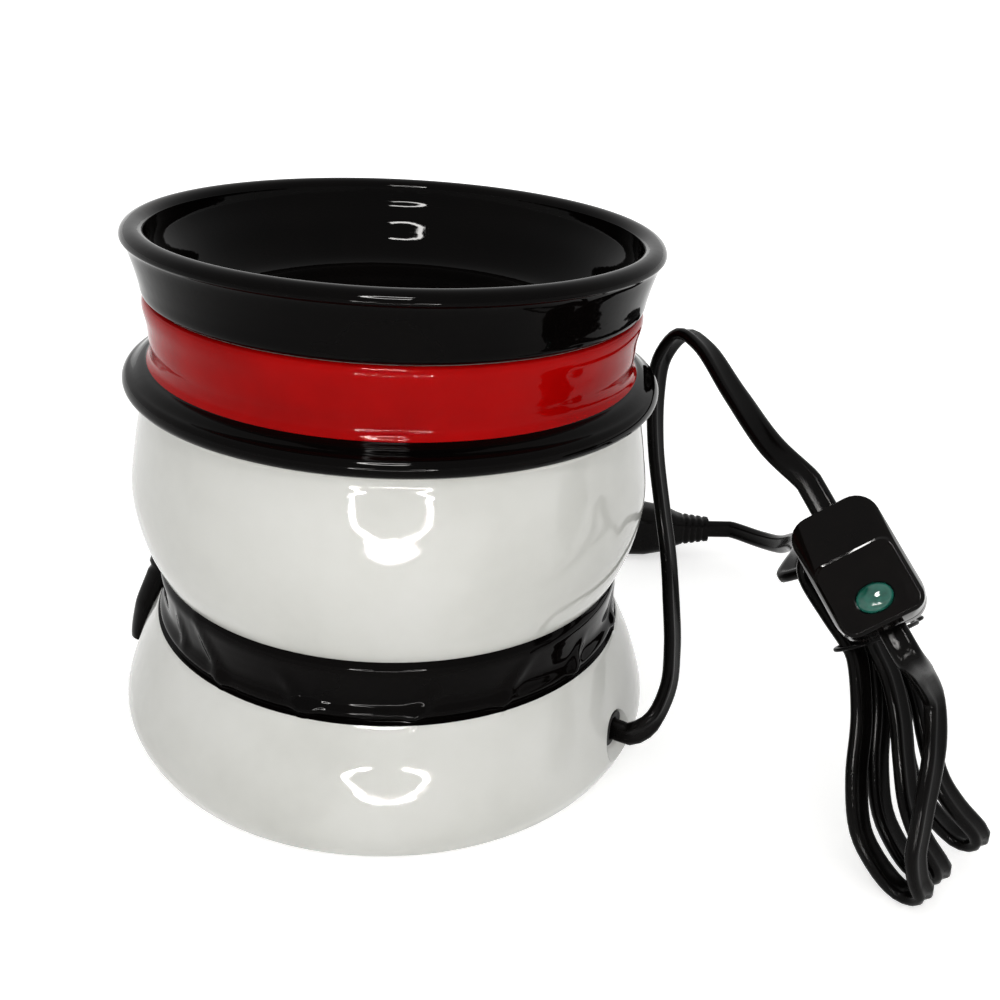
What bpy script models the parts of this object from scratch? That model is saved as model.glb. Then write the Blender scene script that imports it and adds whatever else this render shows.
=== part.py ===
"""Electric wax warmer: a hollow ceramic casting that carries a loose dish over a small lamp.

Metres, +Z up. The origin is on the table, under the middle of the foot.
+X is the side where the cord leaves, and -Y is the side that faces the viewer.
"""

import math

import bmesh
import bpy
from mathutils import Matrix, Vector

# Fits
FIT = 0.0003  # gap between two pieces that touch
SCREW_PLAY = 0.0003  # play of a screw in its hole

# Casting, from the foot to the crown: radii and heights of the outside
WALL = 0.0048
FOOT_LIFT = 0.0004  # the foot ring stands this high on the rubber feet
FOOT_R = 0.0775
FOOT_EDGE = 0.0009
BELLY_R = 0.0806
BELLY_Z = 0.0095
SHOULDER_R = 0.0767
SHOULDER_Z = 0.0240
NECK_R = 0.0680
SCARF_LOW_Z = 0.0376
SCARF_TOP_Z = 0.0552
SCARF_LIP = 0.0014
JAW_R = 0.0724
JAW_Z = 0.0660
HEAD_R = 0.0744
HEAD_Z = 0.0790
BROW_R = 0.0726
BROW_Z = 0.0925
HEAD_TOP_R = 0.0707
HEAD_TOP_Z = 0.1022
BRIM_R = 0.0746
BRIM_Z = 0.1110
BRIM_T = 0.0053
BAND_R = 0.0667
BAND_LOW_Z = 0.1156
CROWN_R = 0.0682
CROWN_Z = 0.1336

# Ledge inside the foot, which carries the base plate and the cross bar
LEDGE_W = 0.00788  # from the foot of the wall to the ledge's free edge
LEDGE_LOW_Z = 0.0048
LEDGE_T = 0.0047
REBATE_R = 0.0724

# Folds and the hanging end of the scarf
FOLD_COUNT = 9
FOLD_H = 0.0013
FOLD_W = 0.0052
TAIL_TOP_Z = 0.0560
TAIL_END_Z = 0.0130
TAIL_TOP_AZ = math.radians(174.0)
TAIL_END_AZ = math.radians(170.0)
TAIL_TOP_PROUD = 0.0108
TAIL_END_PROUD = 0.0044
TAIL_TOP_W = 0.0200
TAIL_END_W = 0.0270
TAIL_SUNK = 0.0026  # how deep the end is fused into the wall

# Dish
RIM_R = 0.0725
RIM_Z = 0.1520
LIP_T = 0.0066
DISH_FLOOR_Z = 0.1260
DISH_FLOOR_T = 0.0050
SPIGOT_PLAY = 0.0012

# Cord hole and its bush
HOLE_AZ = math.radians(-27.0)
HOLE_Z = 0.0165
HOLE_R = 0.0056
HOLE_MOUTH_R = 0.0088
HOLE_MOUTH_DEPTH = 0.0030
HOLE_CLEAR = 0.0150  # the way out of the hole is clear this far beyond the belly
BUSH_FLANGE_R = 0.0068
BUSH_FLANGE_T = 0.0018
BUSH_SEAT_IN = 0.0016

# Base plate, cross bar and their fasteners
PLATE_T = 0.0015
PLATE_PLAY = 0.0004
BAR_AZ = math.radians(63.0)
BAR_W = 0.0160
BAR_T = 0.0020
BAR_REACH = 0.0036  # how far each end of the bar lies over the ledge
CLAMP_AT = 0.0450
CLAMP_R = 0.0020
CLAMP_HEAD_R = 0.0038
CLAMP_HEAD_H = 0.0020
NUT_R = 0.0040
NUT_H = 0.0030
PAD_COUNT = 4
PAD_AT = 0.0560
PAD_R = 0.0055

# Lamp holder
HOLDER_R = 0.0140
HOLDER_H = 0.0380
HOLDER_BORE_R = 0.0096
HOLDER_FLOOR = 0.0120
HOLDER_TAP_DEPTH = 0.0080
SHELL_T = 0.0012
CONTACT_H = 0.0030
CONTACT_R = 0.0034
TERMINAL_H = 0.0060
TERMINAL_T = 0.0040
TERMINAL_W = 0.0050
TERMINAL_SPREAD = 0.0045

# Lamp
CAP_R = 0.0069
CAP_H = 0.0210
CAP_T = 0.0006
TIP_R = 0.0022
TIP_H = 0.0042
GLASS_T = 0.0009
GLOBE_R = 0.0225
GLOBE_ABOVE_CAP = 0.0330
STEM_R = 0.0020
FILAMENT_R = 0.0003
FILAMENT_SPAN = 0.0090

# Flat twin cord
CORD_W = 0.0070
CORD_T = 0.0035
CORE_R = 0.0012
LEAD_SPREAD = 0.0060  # how far the two cores part on the way to the lamp
CORD_SPACING = 0.0056  # between the points that the cord is drawn through

# In-line switch: where the cord enters it, the way its long axis points and the way its face looks
SWITCH_ENTRY = Vector((0.1158, -0.0436, 0.0940))
SWITCH_DOWN = Vector((0.418, -0.707, -0.570)).normalized()
SWITCH_FACE = Vector((-0.405, -0.707, 0.581))
SWITCH_L = 0.0335
SWITCH_W = 0.0230
SWITCH_T = 0.0156
SWITCH_SLOPE_TOP = 0.0142
SWITCH_SLOPE_LOW = 0.0010
SWITCH_END_T = 0.0084
SWITCH_WALL = 0.0020
SWITCH_CORNER = 0.0060
SWITCH_DRAFT = 0.0016
BUTTON_L = 0.0070
BUTTON_W = 0.0092
BUTTON_PROUD = 0.0026
BUTTON_TRAVEL = 0.0018
BUTTON_FLANGE = 0.0012
POCKET_PLAY = 0.0006
BUTTON_BELOW = 0.0098  # below the middle of the switch
SWITCH_SCREW_ABOVE = 0.0100
SWITCH_SCREW_BELOW = 0.0020
SWITCH_SCREW_R = 0.0011
SWITCH_SCREW_HEAD_R = 0.0022
SWITCH_SCREW_HEAD_H = 0.0010

# Hank: long loops side by side, drawn in at the tie
HANK_LOOPS = 3
HANK_ACROSS = Vector((0.80, 0.60, 0.0))
HANK_DOWN = Vector((0.36, -0.48, -0.80))
HANK_FOOT = (0.1600, -0.0680)
HANK_LOW_R = 0.0046
HANK_TOP_R = 0.0075
HANK_WAIST = 0.0023
HANK_BULGE = 0.0010
HANK_LEAN = 0.0050
HANK_LOW_LENGTH = 0.0575
HANK_TOP_LENGTH = 0.0240
HANK_LEAVE_UP = 0.0160
HANK_LEAVE_R = 0.0090
HANK_STEP = 0.0078
HANK_LOW_STEP = 0.0134
HANK_LOW_RISE = 0.0020  # each loop ends this much higher than the one before it
HANK_SHEAR = 0.0150  # how far the loops sway aside below the waist
HANK_HOOK = 0.0110  # how far their ends curl back
HANK_STRAIGHTER = 0.08  # how much less the later loops sway
HANK_NEARER = 0.30  # how much nearer the middle loop ends to the first than to the last
HANK_TOP_SHEAR = 0.0030  # how far the top of the hank lies behind its waist
HANK_CLIMB_END = 0.58
TIE_R = 0.0006
TIE_PLAY = 0.0010
TIE_UP = 0.0036
TIE_EAR_R = 0.0022

# Plug
PLUG_X = 0.0930
PLUG_Y = 0.1110
PLUG_TILT = math.radians(1.5)
PLUG_TURN = math.radians(3.0)
PLUG_W = 0.0210
PLUG_T = 0.0160
PLUG_BODY_L = 0.0240
PLUG_NECK_L = 0.0130
PLUG_NECK_W = 0.0115
BLADE_PITCH = 0.0127
BLADE_W = 0.0063
BLADE_T = 0.0015
BLADE_L = 0.0165

# Table clearance of the pieces that lie on it
LYING_GAP = 0.0004

# Facets
TURN_STEPS = 56
LAMP_STEPS = 20
SMALL_STEPS = 14

# Levels that follow from the sizes above
WALL_FOOT_R = BELLY_R - 1.4 * WALL
LEDGE_R = WALL_FOOT_R - LEDGE_W
PLATE_TOP_Z = LEDGE_LOW_Z - FIT
PLATE_LOW_Z = PLATE_TOP_Z - PLATE_T
LEDGE_TOP_Z = LEDGE_LOW_Z + LEDGE_T
BAR_LOW_Z = LEDGE_TOP_Z + FIT
BAR_TOP_Z = BAR_LOW_Z + BAR_T
HOLDER_LOW_Z = BAR_TOP_Z + FIT
HOLDER_FLOOR_Z = HOLDER_LOW_Z + HOLDER_FLOOR
HOLDER_TOP_Z = HOLDER_LOW_Z + HOLDER_H
TIP_Z = HOLDER_FLOOR_Z + FIT + CONTACT_H + FIT
CAP_LOW_Z = TIP_Z + TIP_H + FIT
CAP_TOP_Z = CAP_LOW_Z + CAP_H
GLOBE_Z = CAP_TOP_Z + GLOBE_ABOVE_CAP
DISH_SEAT_Z = CROWN_Z + FIT
CROWN_BORE_R = CROWN_R - WALL
SPIGOT_R = CROWN_BORE_R - SPIGOT_PLAY

# The way the cord leaves the body
HOLE_OUT = Vector((math.cos(HOLE_AZ), math.sin(HOLE_AZ), 0.0))


def material(name, colour, roughness, metallic=0.0):
    made = bpy.data.materials.new(name)
    made.use_nodes = True
    shader = made.node_tree.nodes["Principled BSDF"]
    shader.inputs["Base Color"].default_value = (*colour, 1.0)
    shader.inputs["Roughness"].default_value = roughness
    shader.inputs["Metallic"].default_value = metallic
    return made


def make(name, bm, *materials, crease=38.0):
    """A named object from a bmesh, shaded smooth except at creases."""
    bmesh.ops.recalc_face_normals(bm, faces=bm.faces)
    mesh = bpy.data.meshes.new(name)
    bm.to_mesh(mesh)
    bm.free()
    mesh.shade_smooth()
    mesh.set_sharp_from_angle(angle=math.radians(crease))
    for entry in materials:
        mesh.materials.append(entry)
    made = bpy.data.objects.new(name, mesh)
    bpy.context.collection.objects.link(made)
    return made


def combine(target, tool, operation="DIFFERENCE"):
    """Cut a helper out of a piece, or fuse it on, with a Boolean that stays live."""
    tool.hide_render = True
    tool.display_type = "WIRE"
    change = target.modifiers.new(tool.name, "BOOLEAN")
    change.operation = operation
    change.solver = "EXACT"
    change.object = tool


def smooth(points, counts):
    """Points read from a smooth curve through the given ones, so many for each span.

    The curve's knots lie at the square roots of the distances, so that short spans next
    to long ones make no loops.
    """
    given = [Vector(point) for point in points]
    if isinstance(counts, int):
        counts = [counts] * (len(given) - 1)
    given = [2 * given[0] - given[1], *given, 2 * given[-1] - given[-2]]
    read = []
    for a, b, c, d, count in zip(given, given[1:], given[2:], given[3:], counts):
        t1 = math.sqrt((b - a).length)
        t2 = t1 + math.sqrt((c - b).length)
        t3 = t2 + math.sqrt((d - c).length)
        for i in range(count):
            t = t1 + (t2 - t1) * i / count
            ab = a + (b - a) * (t / t1)
            bc = b + (c - b) * ((t - t1) / (t2 - t1))
            cd = c + (d - c) * ((t - t2) / (t3 - t2))
            abc = ab + (bc - ab) * (t / t2)
            bcd = bc + (cd - bc) * ((t - t1) / (t3 - t1))
            read.append(abc + (bcd - abc) * ((t - t1) / (t2 - t1)))
    read.append(given[-2])
    return read


def turn(outline, steps, closed=False):
    """An outline of (radius, height) turned about Z."""
    bm = bmesh.new()
    verts = [bm.verts.new((r, 0.0, z)) for r, z in outline]
    edges = [bm.edges.new(pair) for pair in zip(verts, verts[1:])]
    if closed:
        edges.append(bm.edges.new((verts[-1], verts[0])))
    bmesh.ops.spin(
        bm,
        geom=verts + edges,
        cent=(0, 0, 0),
        axis=(0, 0, 1),
        angle=2 * math.pi,
        steps=steps,
        use_merge=True,
    )
    bmesh.ops.remove_doubles(bm, verts=bm.verts, dist=1e-6)
    return bm


def loft(rings):
    """A closed solid through rings of equally many points."""
    bm = bmesh.new()
    edges = []
    for ring in rings:
        verts = [bm.verts.new(point) for point in ring]
        edges.append([bm.edges.new((a, b)) for a, b in zip(verts, verts[1:] + verts[:1])])
    for lower, upper in zip(edges, edges[1:]):
        bmesh.ops.bridge_loops(bm, edges=lower + upper)
    bmesh.ops.contextual_create(bm, geom=edges[0])
    bmesh.ops.contextual_create(bm, geom=edges[-1])
    return bm


def rounded(width, length, corner, per_corner=4):
    """A rectangle with round corners, as (x, y) points."""
    corner = min(corner, 0.49 * width, 0.49 * length)
    points = []
    for quarter in range(4):
        sx = 1 if quarter in (0, 3) else -1
        sy = 1 if quarter in (0, 1) else -1
        for i in range(per_corner):
            angle = math.pi / 2 * (quarter + i / (per_corner - 1))
            x = sx * (width / 2 - corner) + corner * math.cos(angle)
            y = sy * (length / 2 - corner) + corner * math.sin(angle)
            points.append((x, y))
    return points


def box(size, at=(0, 0, 0)):
    bm = bmesh.new()
    bmesh.ops.create_cube(bm, size=1.0)
    bmesh.ops.scale(bm, vec=size, verts=bm.verts)
    bmesh.ops.translate(bm, vec=at, verts=bm.verts)
    return bm


def several(names, bm, places, *materials, crease=38.0):
    """One object for each name, at its place, all sharing one mesh."""
    first = make(names[0], bm, *materials, crease=crease)
    made = [first]
    for name in names[1:]:
        made.append(bpy.data.objects.new(name, first.data))
        bpy.context.collection.objects.link(made[-1])
    for obj, at in zip(made, places):
        obj.location = at
    return made


def stand(radius, low, high):
    """Outline of a plain cylinder."""
    return [(0.0, high), (radius, high), (radius, low), (0.0, low)]


def place(obj, at, x_axis, y_axis):
    """Set an object's place and its turn from its own x and y axes."""
    z_axis = x_axis.cross(y_axis)
    obj.matrix_world = Matrix.Translation(at) @ Matrix((x_axis, y_axis, z_axis)).transposed().to_4x4()
    return obj


# Casting


def casting_outline():
    """Outside and inside of the casting as (radius, height, glaze of the face above)."""
    foot = [(REBATE_R, FOOT_LIFT), (FOOT_R - FOOT_EDGE, FOOT_LIFT)]
    body = smooth(
        [
            (FOOT_R, FOOT_LIFT + FOOT_EDGE),
            (BELLY_R, BELLY_Z),
            (SHOULDER_R, SHOULDER_Z),
            (NECK_R + 1.5 * SCARF_LIP, SCARF_LOW_Z),
        ],
        3,
    )
    scarf_h = SCARF_TOP_Z - SCARF_LOW_Z
    scarf = [
        (NECK_R + 0.4 * SCARF_LIP, SCARF_LOW_Z + 0.03 * scarf_h),
        (NECK_R + SCARF_LIP, SCARF_LOW_Z + 0.12 * scarf_h),
        (NECK_R, SCARF_LOW_Z + 0.30 * scarf_h),
        (NECK_R, SCARF_LOW_Z + 0.50 * scarf_h),
        (NECK_R + 0.2 * SCARF_LIP, SCARF_LOW_Z + 0.70 * scarf_h),
        (NECK_R + 0.3 * SCARF_LIP, SCARF_LOW_Z + 0.88 * scarf_h),
        (NECK_R - 0.5 * SCARF_LIP, SCARF_TOP_Z),
    ]
    head = smooth(
        [
            (NECK_R + 0.2 * SCARF_LIP, SCARF_TOP_Z + 0.0008),
            (JAW_R, JAW_Z),
            (HEAD_R, HEAD_Z),
            (BROW_R, BROW_Z),
            (HEAD_TOP_R, HEAD_TOP_Z),
        ],
        2,
    )
    edge = BRIM_T / 2
    under = [(HEAD_TOP_R + 0.15 * BRIM_T, BRIM_Z - 0.80 * BRIM_T)]
    brim = []
    for angle in (-68, -30, 10, 50, 84):
        turned = math.radians(angle)
        brim.append((BRIM_R - edge + edge * math.cos(turned), BRIM_Z + edge * math.sin(turned)))
    brim.append((BAND_R + 0.0034, BAND_LOW_Z - 0.0006))
    rise = CROWN_Z - BAND_LOW_Z
    band = [
        (BAND_R + 0.0013, BAND_LOW_Z),
        (BAND_R + 0.0002, BAND_LOW_Z + 0.08 * rise),
        (BAND_R, BAND_LOW_Z + 0.22 * rise),
        (BAND_R + 0.0005, BAND_LOW_Z + 0.34 * rise),
        (BAND_R + 0.45 * (CROWN_R - BAND_R), BAND_LOW_Z + 0.60 * rise),
        (CROWN_R, BAND_LOW_Z + 0.88 * rise),
        (CROWN_R - 0.0005, BAND_LOW_Z + 0.97 * rise),
    ]
    crown = [(CROWN_R - 0.0016, CROWN_Z), (CROWN_BORE_R, CROWN_Z)]
    inside = smooth(
        [
            (CROWN_BORE_R, CROWN_Z - 0.0005),
            (BAND_R - WALL, BAND_LOW_Z),
            (HEAD_TOP_R - WALL, HEAD_TOP_Z),
            (HEAD_R - WALL, HEAD_Z),
            (NECK_R - WALL, SCARF_TOP_Z - 0.002),
            (NECK_R - WALL, SCARF_LOW_Z + 0.003),
            (SHOULDER_R - WALL, SHOULDER_Z),
            (BELLY_R - WALL, LEDGE_TOP_Z + 0.0062),
        ],
        1,
    )
    ledge = [
        (WALL_FOOT_R, LEDGE_TOP_Z),
        (LEDGE_R, LEDGE_TOP_Z),
        (LEDGE_R, LEDGE_LOW_Z),
        (REBATE_R, LEDGE_LOW_Z),
    ]
    outline = []
    for points in (foot, body):
        outline += [(point[0], point[1], "white") for point in points]
    outline += [(r, z, "black") for r, z in scarf]
    outline += [(point[0], point[1], "white") for point in head]
    for points in (under, brim):
        outline += [(r, z, "black") for r, z in points]
    outline += [(r, z, "red") for r, z in band]
    for points in (crown, inside, ledge):
        outline += [(point[0], point[1], "white") for point in points]
    return outline


def skin_r(z):
    """Outside radius of the casting at a height."""
    found = [(height, r) for r, height, _ in casting_outline()]
    best = 0.0
    for (z0, r0), (z1, r1) in zip(found, found[1:]):
        if min(z0, z1) <= z <= max(z0, z1) and z0 != z1:
            best = max(best, r0 + (r1 - r0) * (z - z0) / (z1 - z0))
    return best


def fold(angle, share):
    """Height of the scarf's slanting folds at an angle and at a share of its height."""
    pitch = 2 * math.pi / FOLD_COUNT
    height = 0.0
    for k in range(FOLD_COUNT):
        slant = 0.30 if k % 2 else -0.22
        middle = k * pitch + 0.35 * math.sin(2.4 * k) * pitch + slant * (share - 0.5)
        away = (angle - middle + math.pi) % (2 * math.pi) - math.pi
        height = max(height, math.exp(-((away * NECK_R / FOLD_W) ** 2)))
    return FOLD_H * height * math.sin(math.pi * min(max(share, 0.0), 1.0)) ** 0.5


def casting(white, black, red):
    outline = casting_outline()
    bm = turn([point[:2] for point in outline], TURN_STEPS, closed=True)
    middles = []
    for (r0, z0, glaze), (r1, z1, _) in zip(outline, outline[1:] + outline[:1]):
        middles.append(((r0 + r1) / 2, (z0 + z1) / 2, glaze))
    index = {"white": 0, "black": 1, "red": 2}
    for face in bm.faces:
        centre = face.calc_center_median()
        r = math.hypot(centre.x, centre.y)
        nearest = min(middles, key=lambda m: (m[0] - r) ** 2 + (m[1] - centre.z) ** 2)
        face.material_index = index[nearest[2]]
    for vert in bm.verts:
        r = math.hypot(vert.co.x, vert.co.y)
        share = (vert.co.z - SCARF_LOW_Z) / (SCARF_TOP_Z - SCARF_LOW_Z)
        if 0.0 < share < 1.0 and r > NECK_R - 0.5 * WALL:
            grown = 1 + fold(math.atan2(vert.co.y, vert.co.x), share) / r
            vert.co.x *= grown
            vert.co.y *= grown
    return make("ceramic_body", bm, white, black, red)


def scarf_tail(black):
    """The hanging end of the scarf, which lies on the shoulder of the casting."""
    rings = []
    steps = 6
    for i in range(steps):
        t = i / (steps - 1)
        z = TAIL_TOP_Z + (TAIL_END_Z - TAIL_TOP_Z) * t
        angle = TAIL_TOP_AZ + (TAIL_END_AZ - TAIL_TOP_AZ) * t
        pinch = 1 - 0.22 * math.sin(math.pi * min(t / 0.7, 1.0))
        width = (TAIL_TOP_W + (TAIL_END_W - TAIL_TOP_W) * t * t) * pinch
        proud = TAIL_TOP_PROUD + (TAIL_END_PROUD - TAIL_TOP_PROUD) * t
        depth = proud + TAIL_SUNK
        out = Vector((math.cos(angle), math.sin(angle), 0.0))
        along = Vector((-math.sin(angle), math.cos(angle), 0.0))
        middle = out * (skin_r(z) + proud - depth / 2) + Vector((0, 0, z))
        rings.append([middle + along * x + out * y for x, y in rounded(width, depth, 0.45 * depth, 3)])
    return make("scarf_tail", loft(rings), black)


# Dish


def dish(black):
    lip = LIP_T / 2
    outer = smooth(
        [
            (CROWN_R - 0.0002, DISH_SEAT_Z + 0.0008),
            (CROWN_R + 0.0006, DISH_SEAT_Z + 0.0045),
            (CROWN_R + 0.40 * (RIM_R - CROWN_R), DISH_SEAT_Z + 0.50 * (RIM_Z - DISH_SEAT_Z)),
            (RIM_R - 0.0008, RIM_Z - 1.15 * lip),
        ],
        2,
    )
    crest = []
    for angle in (-5, 35, 75, 110, 150, 185):
        turned = math.radians(angle)
        crest.append((RIM_R - lip + lip * math.cos(turned), RIM_Z - 0.8 * lip + 0.8 * lip * math.sin(turned)))
    deep = RIM_Z - DISH_FLOOR_Z
    inner = smooth(
        [
            (RIM_R - LIP_T - 0.0012, RIM_Z - 0.26 * deep),
            (SPIGOT_R - 0.0006, RIM_Z - 0.50 * deep),
            (SPIGOT_R - 0.0062, RIM_Z - 0.76 * deep),
            (SPIGOT_R - 0.0160, RIM_Z - 0.94 * deep),
            (SPIGOT_R - 0.0260, DISH_FLOOR_Z),
        ],
        2,
    )
    low = DISH_FLOOR_Z - DISH_FLOOR_T
    outline = [(0.0, low), (SPIGOT_R - 0.006, low), (SPIGOT_R, low + 0.0045), (SPIGOT_R, DISH_SEAT_Z)]
    outline += [(CROWN_R - 0.0012, DISH_SEAT_Z), *outer, *crest, *inner, (0.0, DISH_FLOOR_Z)]
    made = make("wax_dish", turn([(p[0], p[1] - DISH_SEAT_Z) for p in outline], TURN_STEPS), black)
    made.location.z = DISH_SEAT_Z
    return made


# Foot


def foot_pieces(steel, zinc, rubber):
    spokes = Vector((math.cos(BAR_AZ), math.sin(BAR_AZ), 0.0))
    clamps = [spokes * CLAMP_AT, spokes * -CLAMP_AT]
    hole = turn(stand(CLAMP_R + SCREW_PLAY, -0.01, BAR_TOP_Z + 0.01), SMALL_STEPS)
    spots = [*clamps, Vector((0, 0, 0))]
    holes = several(["clamp_hole_front", "clamp_hole_rear", "holder_screw_hole"], hole, spots)

    plate_r = REBATE_R - PLATE_PLAY
    plate = make("base_plate", turn(stand(plate_r, PLATE_LOW_Z, PLATE_TOP_Z), 2 * LAMP_STEPS), steel)
    for hole in holes:
        combine(plate, hole)

    half = LEDGE_R + BAR_REACH
    bar = make("cross_bar", box((2 * half, BAR_W, BAR_T), (0, 0, BAR_LOW_Z + BAR_T / 2)), zinc)
    bar.rotation_euler.z = BAR_AZ
    for hole in holes:
        combine(bar, hole)

    head_top = PLATE_LOW_Z - FIT
    nut_low = BAR_TOP_Z + FIT
    screw = [
        (0.0, nut_low + NUT_H + 0.0012),
        (CLAMP_R, nut_low + NUT_H + 0.0012),
        (CLAMP_R, head_top),
        (CLAMP_HEAD_R, head_top),
        (CLAMP_HEAD_R, head_top - 0.6 * CLAMP_HEAD_H),
        (0.6 * CLAMP_HEAD_R, head_top - CLAMP_HEAD_H),
        (0.0, head_top - CLAMP_HEAD_H),
    ]
    several(["clamp_screw_front", "clamp_screw_rear"], turn(screw, SMALL_STEPS), clamps, zinc)
    nut = turn(stand(NUT_R, nut_low, nut_low + NUT_H), 6)
    nuts = several(["clamp_nut_front", "clamp_nut_rear"], nut, clamps, zinc, crease=20)
    for nut, hole in zip(nuts, holes):
        combine(nut, hole)

    turns = [BAR_AZ + 2 * math.pi * (k + 0.5) / PAD_COUNT for k in range(PAD_COUNT)]
    spots = [(PAD_AT * math.cos(a), PAD_AT * math.sin(a), 0.0) for a in turns]
    pad_top = PLATE_LOW_Z - FIT
    pad = [(0.0, pad_top), (PAD_R, pad_top), (PAD_R, 0.0005), (PAD_R - 0.0005, 0.0), (0.0, 0.0)]
    names = ["foot_pad_%d" % (k + 1) for k in range(PAD_COUNT)]
    several(names, turn(pad, SMALL_STEPS), spots, rubber)


# Lamp holder and lamp


def holder_pieces(porcelain, brass, zinc):
    tap_r = CLAMP_R + SCREW_PLAY
    body = [
        (0.0, HOLDER_LOW_Z + HOLDER_TAP_DEPTH),
        (tap_r, HOLDER_LOW_Z + HOLDER_TAP_DEPTH),
        (tap_r, HOLDER_LOW_Z),
        (HOLDER_R - 0.001, HOLDER_LOW_Z),
        (HOLDER_R, HOLDER_LOW_Z + 0.001),
        (HOLDER_R, HOLDER_TOP_Z - 0.0015),
        (HOLDER_R - 0.0015, HOLDER_TOP_Z),
        (HOLDER_BORE_R, HOLDER_TOP_Z),
        (HOLDER_BORE_R, HOLDER_FLOOR_Z),
        (0.0, HOLDER_FLOOR_Z),
    ]
    make("lamp_holder", turn(body, LAMP_STEPS), porcelain)

    shell_r = HOLDER_BORE_R - FIT
    low = HOLDER_FLOOR_Z + CONTACT_H
    high = HOLDER_TOP_Z - 0.0012
    ring = [(shell_r, high), (shell_r, low), (shell_r - SHELL_T, low), (shell_r - SHELL_T, high)]
    make("holder_shell", turn(ring, LAMP_STEPS, closed=True), brass)

    foot = HOLDER_FLOOR_Z + FIT
    spring = [
        (0.0, foot + CONTACT_H),
        (0.6 * TIP_R, foot + CONTACT_H),
        (TIP_R, foot + 0.75 * CONTACT_H),
        (TIP_R, foot + 0.35 * CONTACT_H),
        (CONTACT_R, foot + 0.35 * CONTACT_H),
        (CONTACT_R, foot),
        (0.0, foot),
    ]
    make("holder_contact", turn(spring, SMALL_STEPS), brass)

    head = BAR_LOW_Z - FIT
    screw = [
        (0.0, HOLDER_LOW_Z + HOLDER_TAP_DEPTH - FIT),
        (CLAMP_R, HOLDER_LOW_Z + HOLDER_TAP_DEPTH - FIT),
        (CLAMP_R, head),
        (CLAMP_HEAD_R, head),
        (CLAMP_HEAD_R, head - CLAMP_HEAD_H),
        (0.0, head - CLAMP_HEAD_H),
    ]
    make("holder_screw", turn(screw, SMALL_STEPS), zinc)

    spots = [terminal_at(1), terminal_at(-1)]
    block = box((TERMINAL_T, TERMINAL_W, TERMINAL_H))
    for terminal in several(["terminal_live", "terminal_neutral"], block, spots, brass):
        terminal.rotation_euler.z = HOLE_AZ


def terminal_at(side):
    """Middle of one of the two terminals on the holder, towards the cord hole."""
    across = Vector((-HOLE_OUT.y, HOLE_OUT.x, 0.0))
    near = TERMINAL_SPREAD - TERMINAL_W / 2
    out = math.sqrt(HOLDER_R**2 - near**2) + FIT + TERMINAL_T / 2
    return HOLE_OUT * out + across * side * TERMINAL_SPREAD + Vector((0, 0, HOLDER_LOW_Z + 0.010))


def lamp_pieces(brass, dark, glass, tungsten):
    carrier = bpy.data.objects.new("lamp_axis", None)
    carrier.location = (0, 0, TIP_Z)
    bpy.context.collection.objects.link(carrier)

    cap_in = CAP_R - CAP_T
    tip = [(0.0, TIP_H), (0.8 * cap_in, TIP_H), (TIP_R + 0.0004, 0.3 * TIP_H), (TIP_R, 0.0), (0.0, 0.0)]
    pieces = [make("bulb_contact", turn(tip, SMALL_STEPS), dark)]

    low = CAP_LOW_Z - TIP_Z
    high = CAP_TOP_Z - TIP_Z
    cap = [
        (cap_in, high),
        (CAP_R, high),
        (CAP_R, low + 0.0012),
        (0.85 * CAP_R, low),
        (0.5 * CAP_R, low),
        (0.5 * CAP_R, low + CAP_T),
        (0.85 * CAP_R - CAP_T, low + CAP_T),
        (cap_in, low + 0.0016),
    ]
    pieces.append(make("bulb_cap", turn(cap, LAMP_STEPS, closed=True), brass))

    neck_r = cap_in - FIT
    globe = GLOBE_Z - TIP_Z

    def envelope(inset):
        arc = []
        for angle in (-48, -24, 0, 24, 48, 70):
            turned = math.radians(angle)
            arc.append(((GLOBE_R - inset) * math.cos(turned), globe + (GLOBE_R - inset) * math.sin(turned)))
        foot = [(neck_r - inset, high - 0.010), (neck_r - inset, high + 0.001)]
        mid = (neck_r - inset + 0.0030, high + 0.0070)
        return foot + smooth([foot[-1], mid, arc[0]], 2)[1:-1] + arc + [(0.0, globe + GLOBE_R - inset)]

    shell = envelope(0.0) + envelope(GLASS_T)[::-1]
    pieces.append(make("bulb_glass", turn(shell, LAMP_STEPS, closed=True), glass))

    stem_low = high - 0.009
    stem_top = globe - 0.55 * GLOBE_R
    flare = neck_r - GLASS_T - FIT
    stem = [
        (0.0, stem_top),
        (1.3 * STEM_R, stem_top),
        (1.3 * STEM_R, stem_top - 0.0015),
        (STEM_R, stem_top - 0.0030),
        (STEM_R, stem_low + 0.010),
        (flare, stem_low + 0.001),
        (flare, stem_low),
        (0.0, stem_low),
    ]
    pieces.append(make("bulb_stem", turn(stem, 14), glass))

    start = stem_top + FIT
    route = [(-0.7 * STEM_R, start), (-0.8 * STEM_R, start + 0.002), (-FILAMENT_SPAN, globe)]
    waves = 6
    for i in range(1, 2 * waves):
        share = i / waves - 1
        route.append((share * FILAMENT_SPAN, globe + 0.0025 + 0.0012 * (-1) ** i))
    route += [(FILAMENT_SPAN, globe), (0.8 * STEM_R, start + 0.002), (0.7 * STEM_R, start)]
    wire = tube("bulb_filament", [(x, 0.0, z) for x, z in route], FILAMENT_R, 0, tungsten)
    for piece in (*pieces, wire):
        piece.parent = carrier


# Cords


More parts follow.
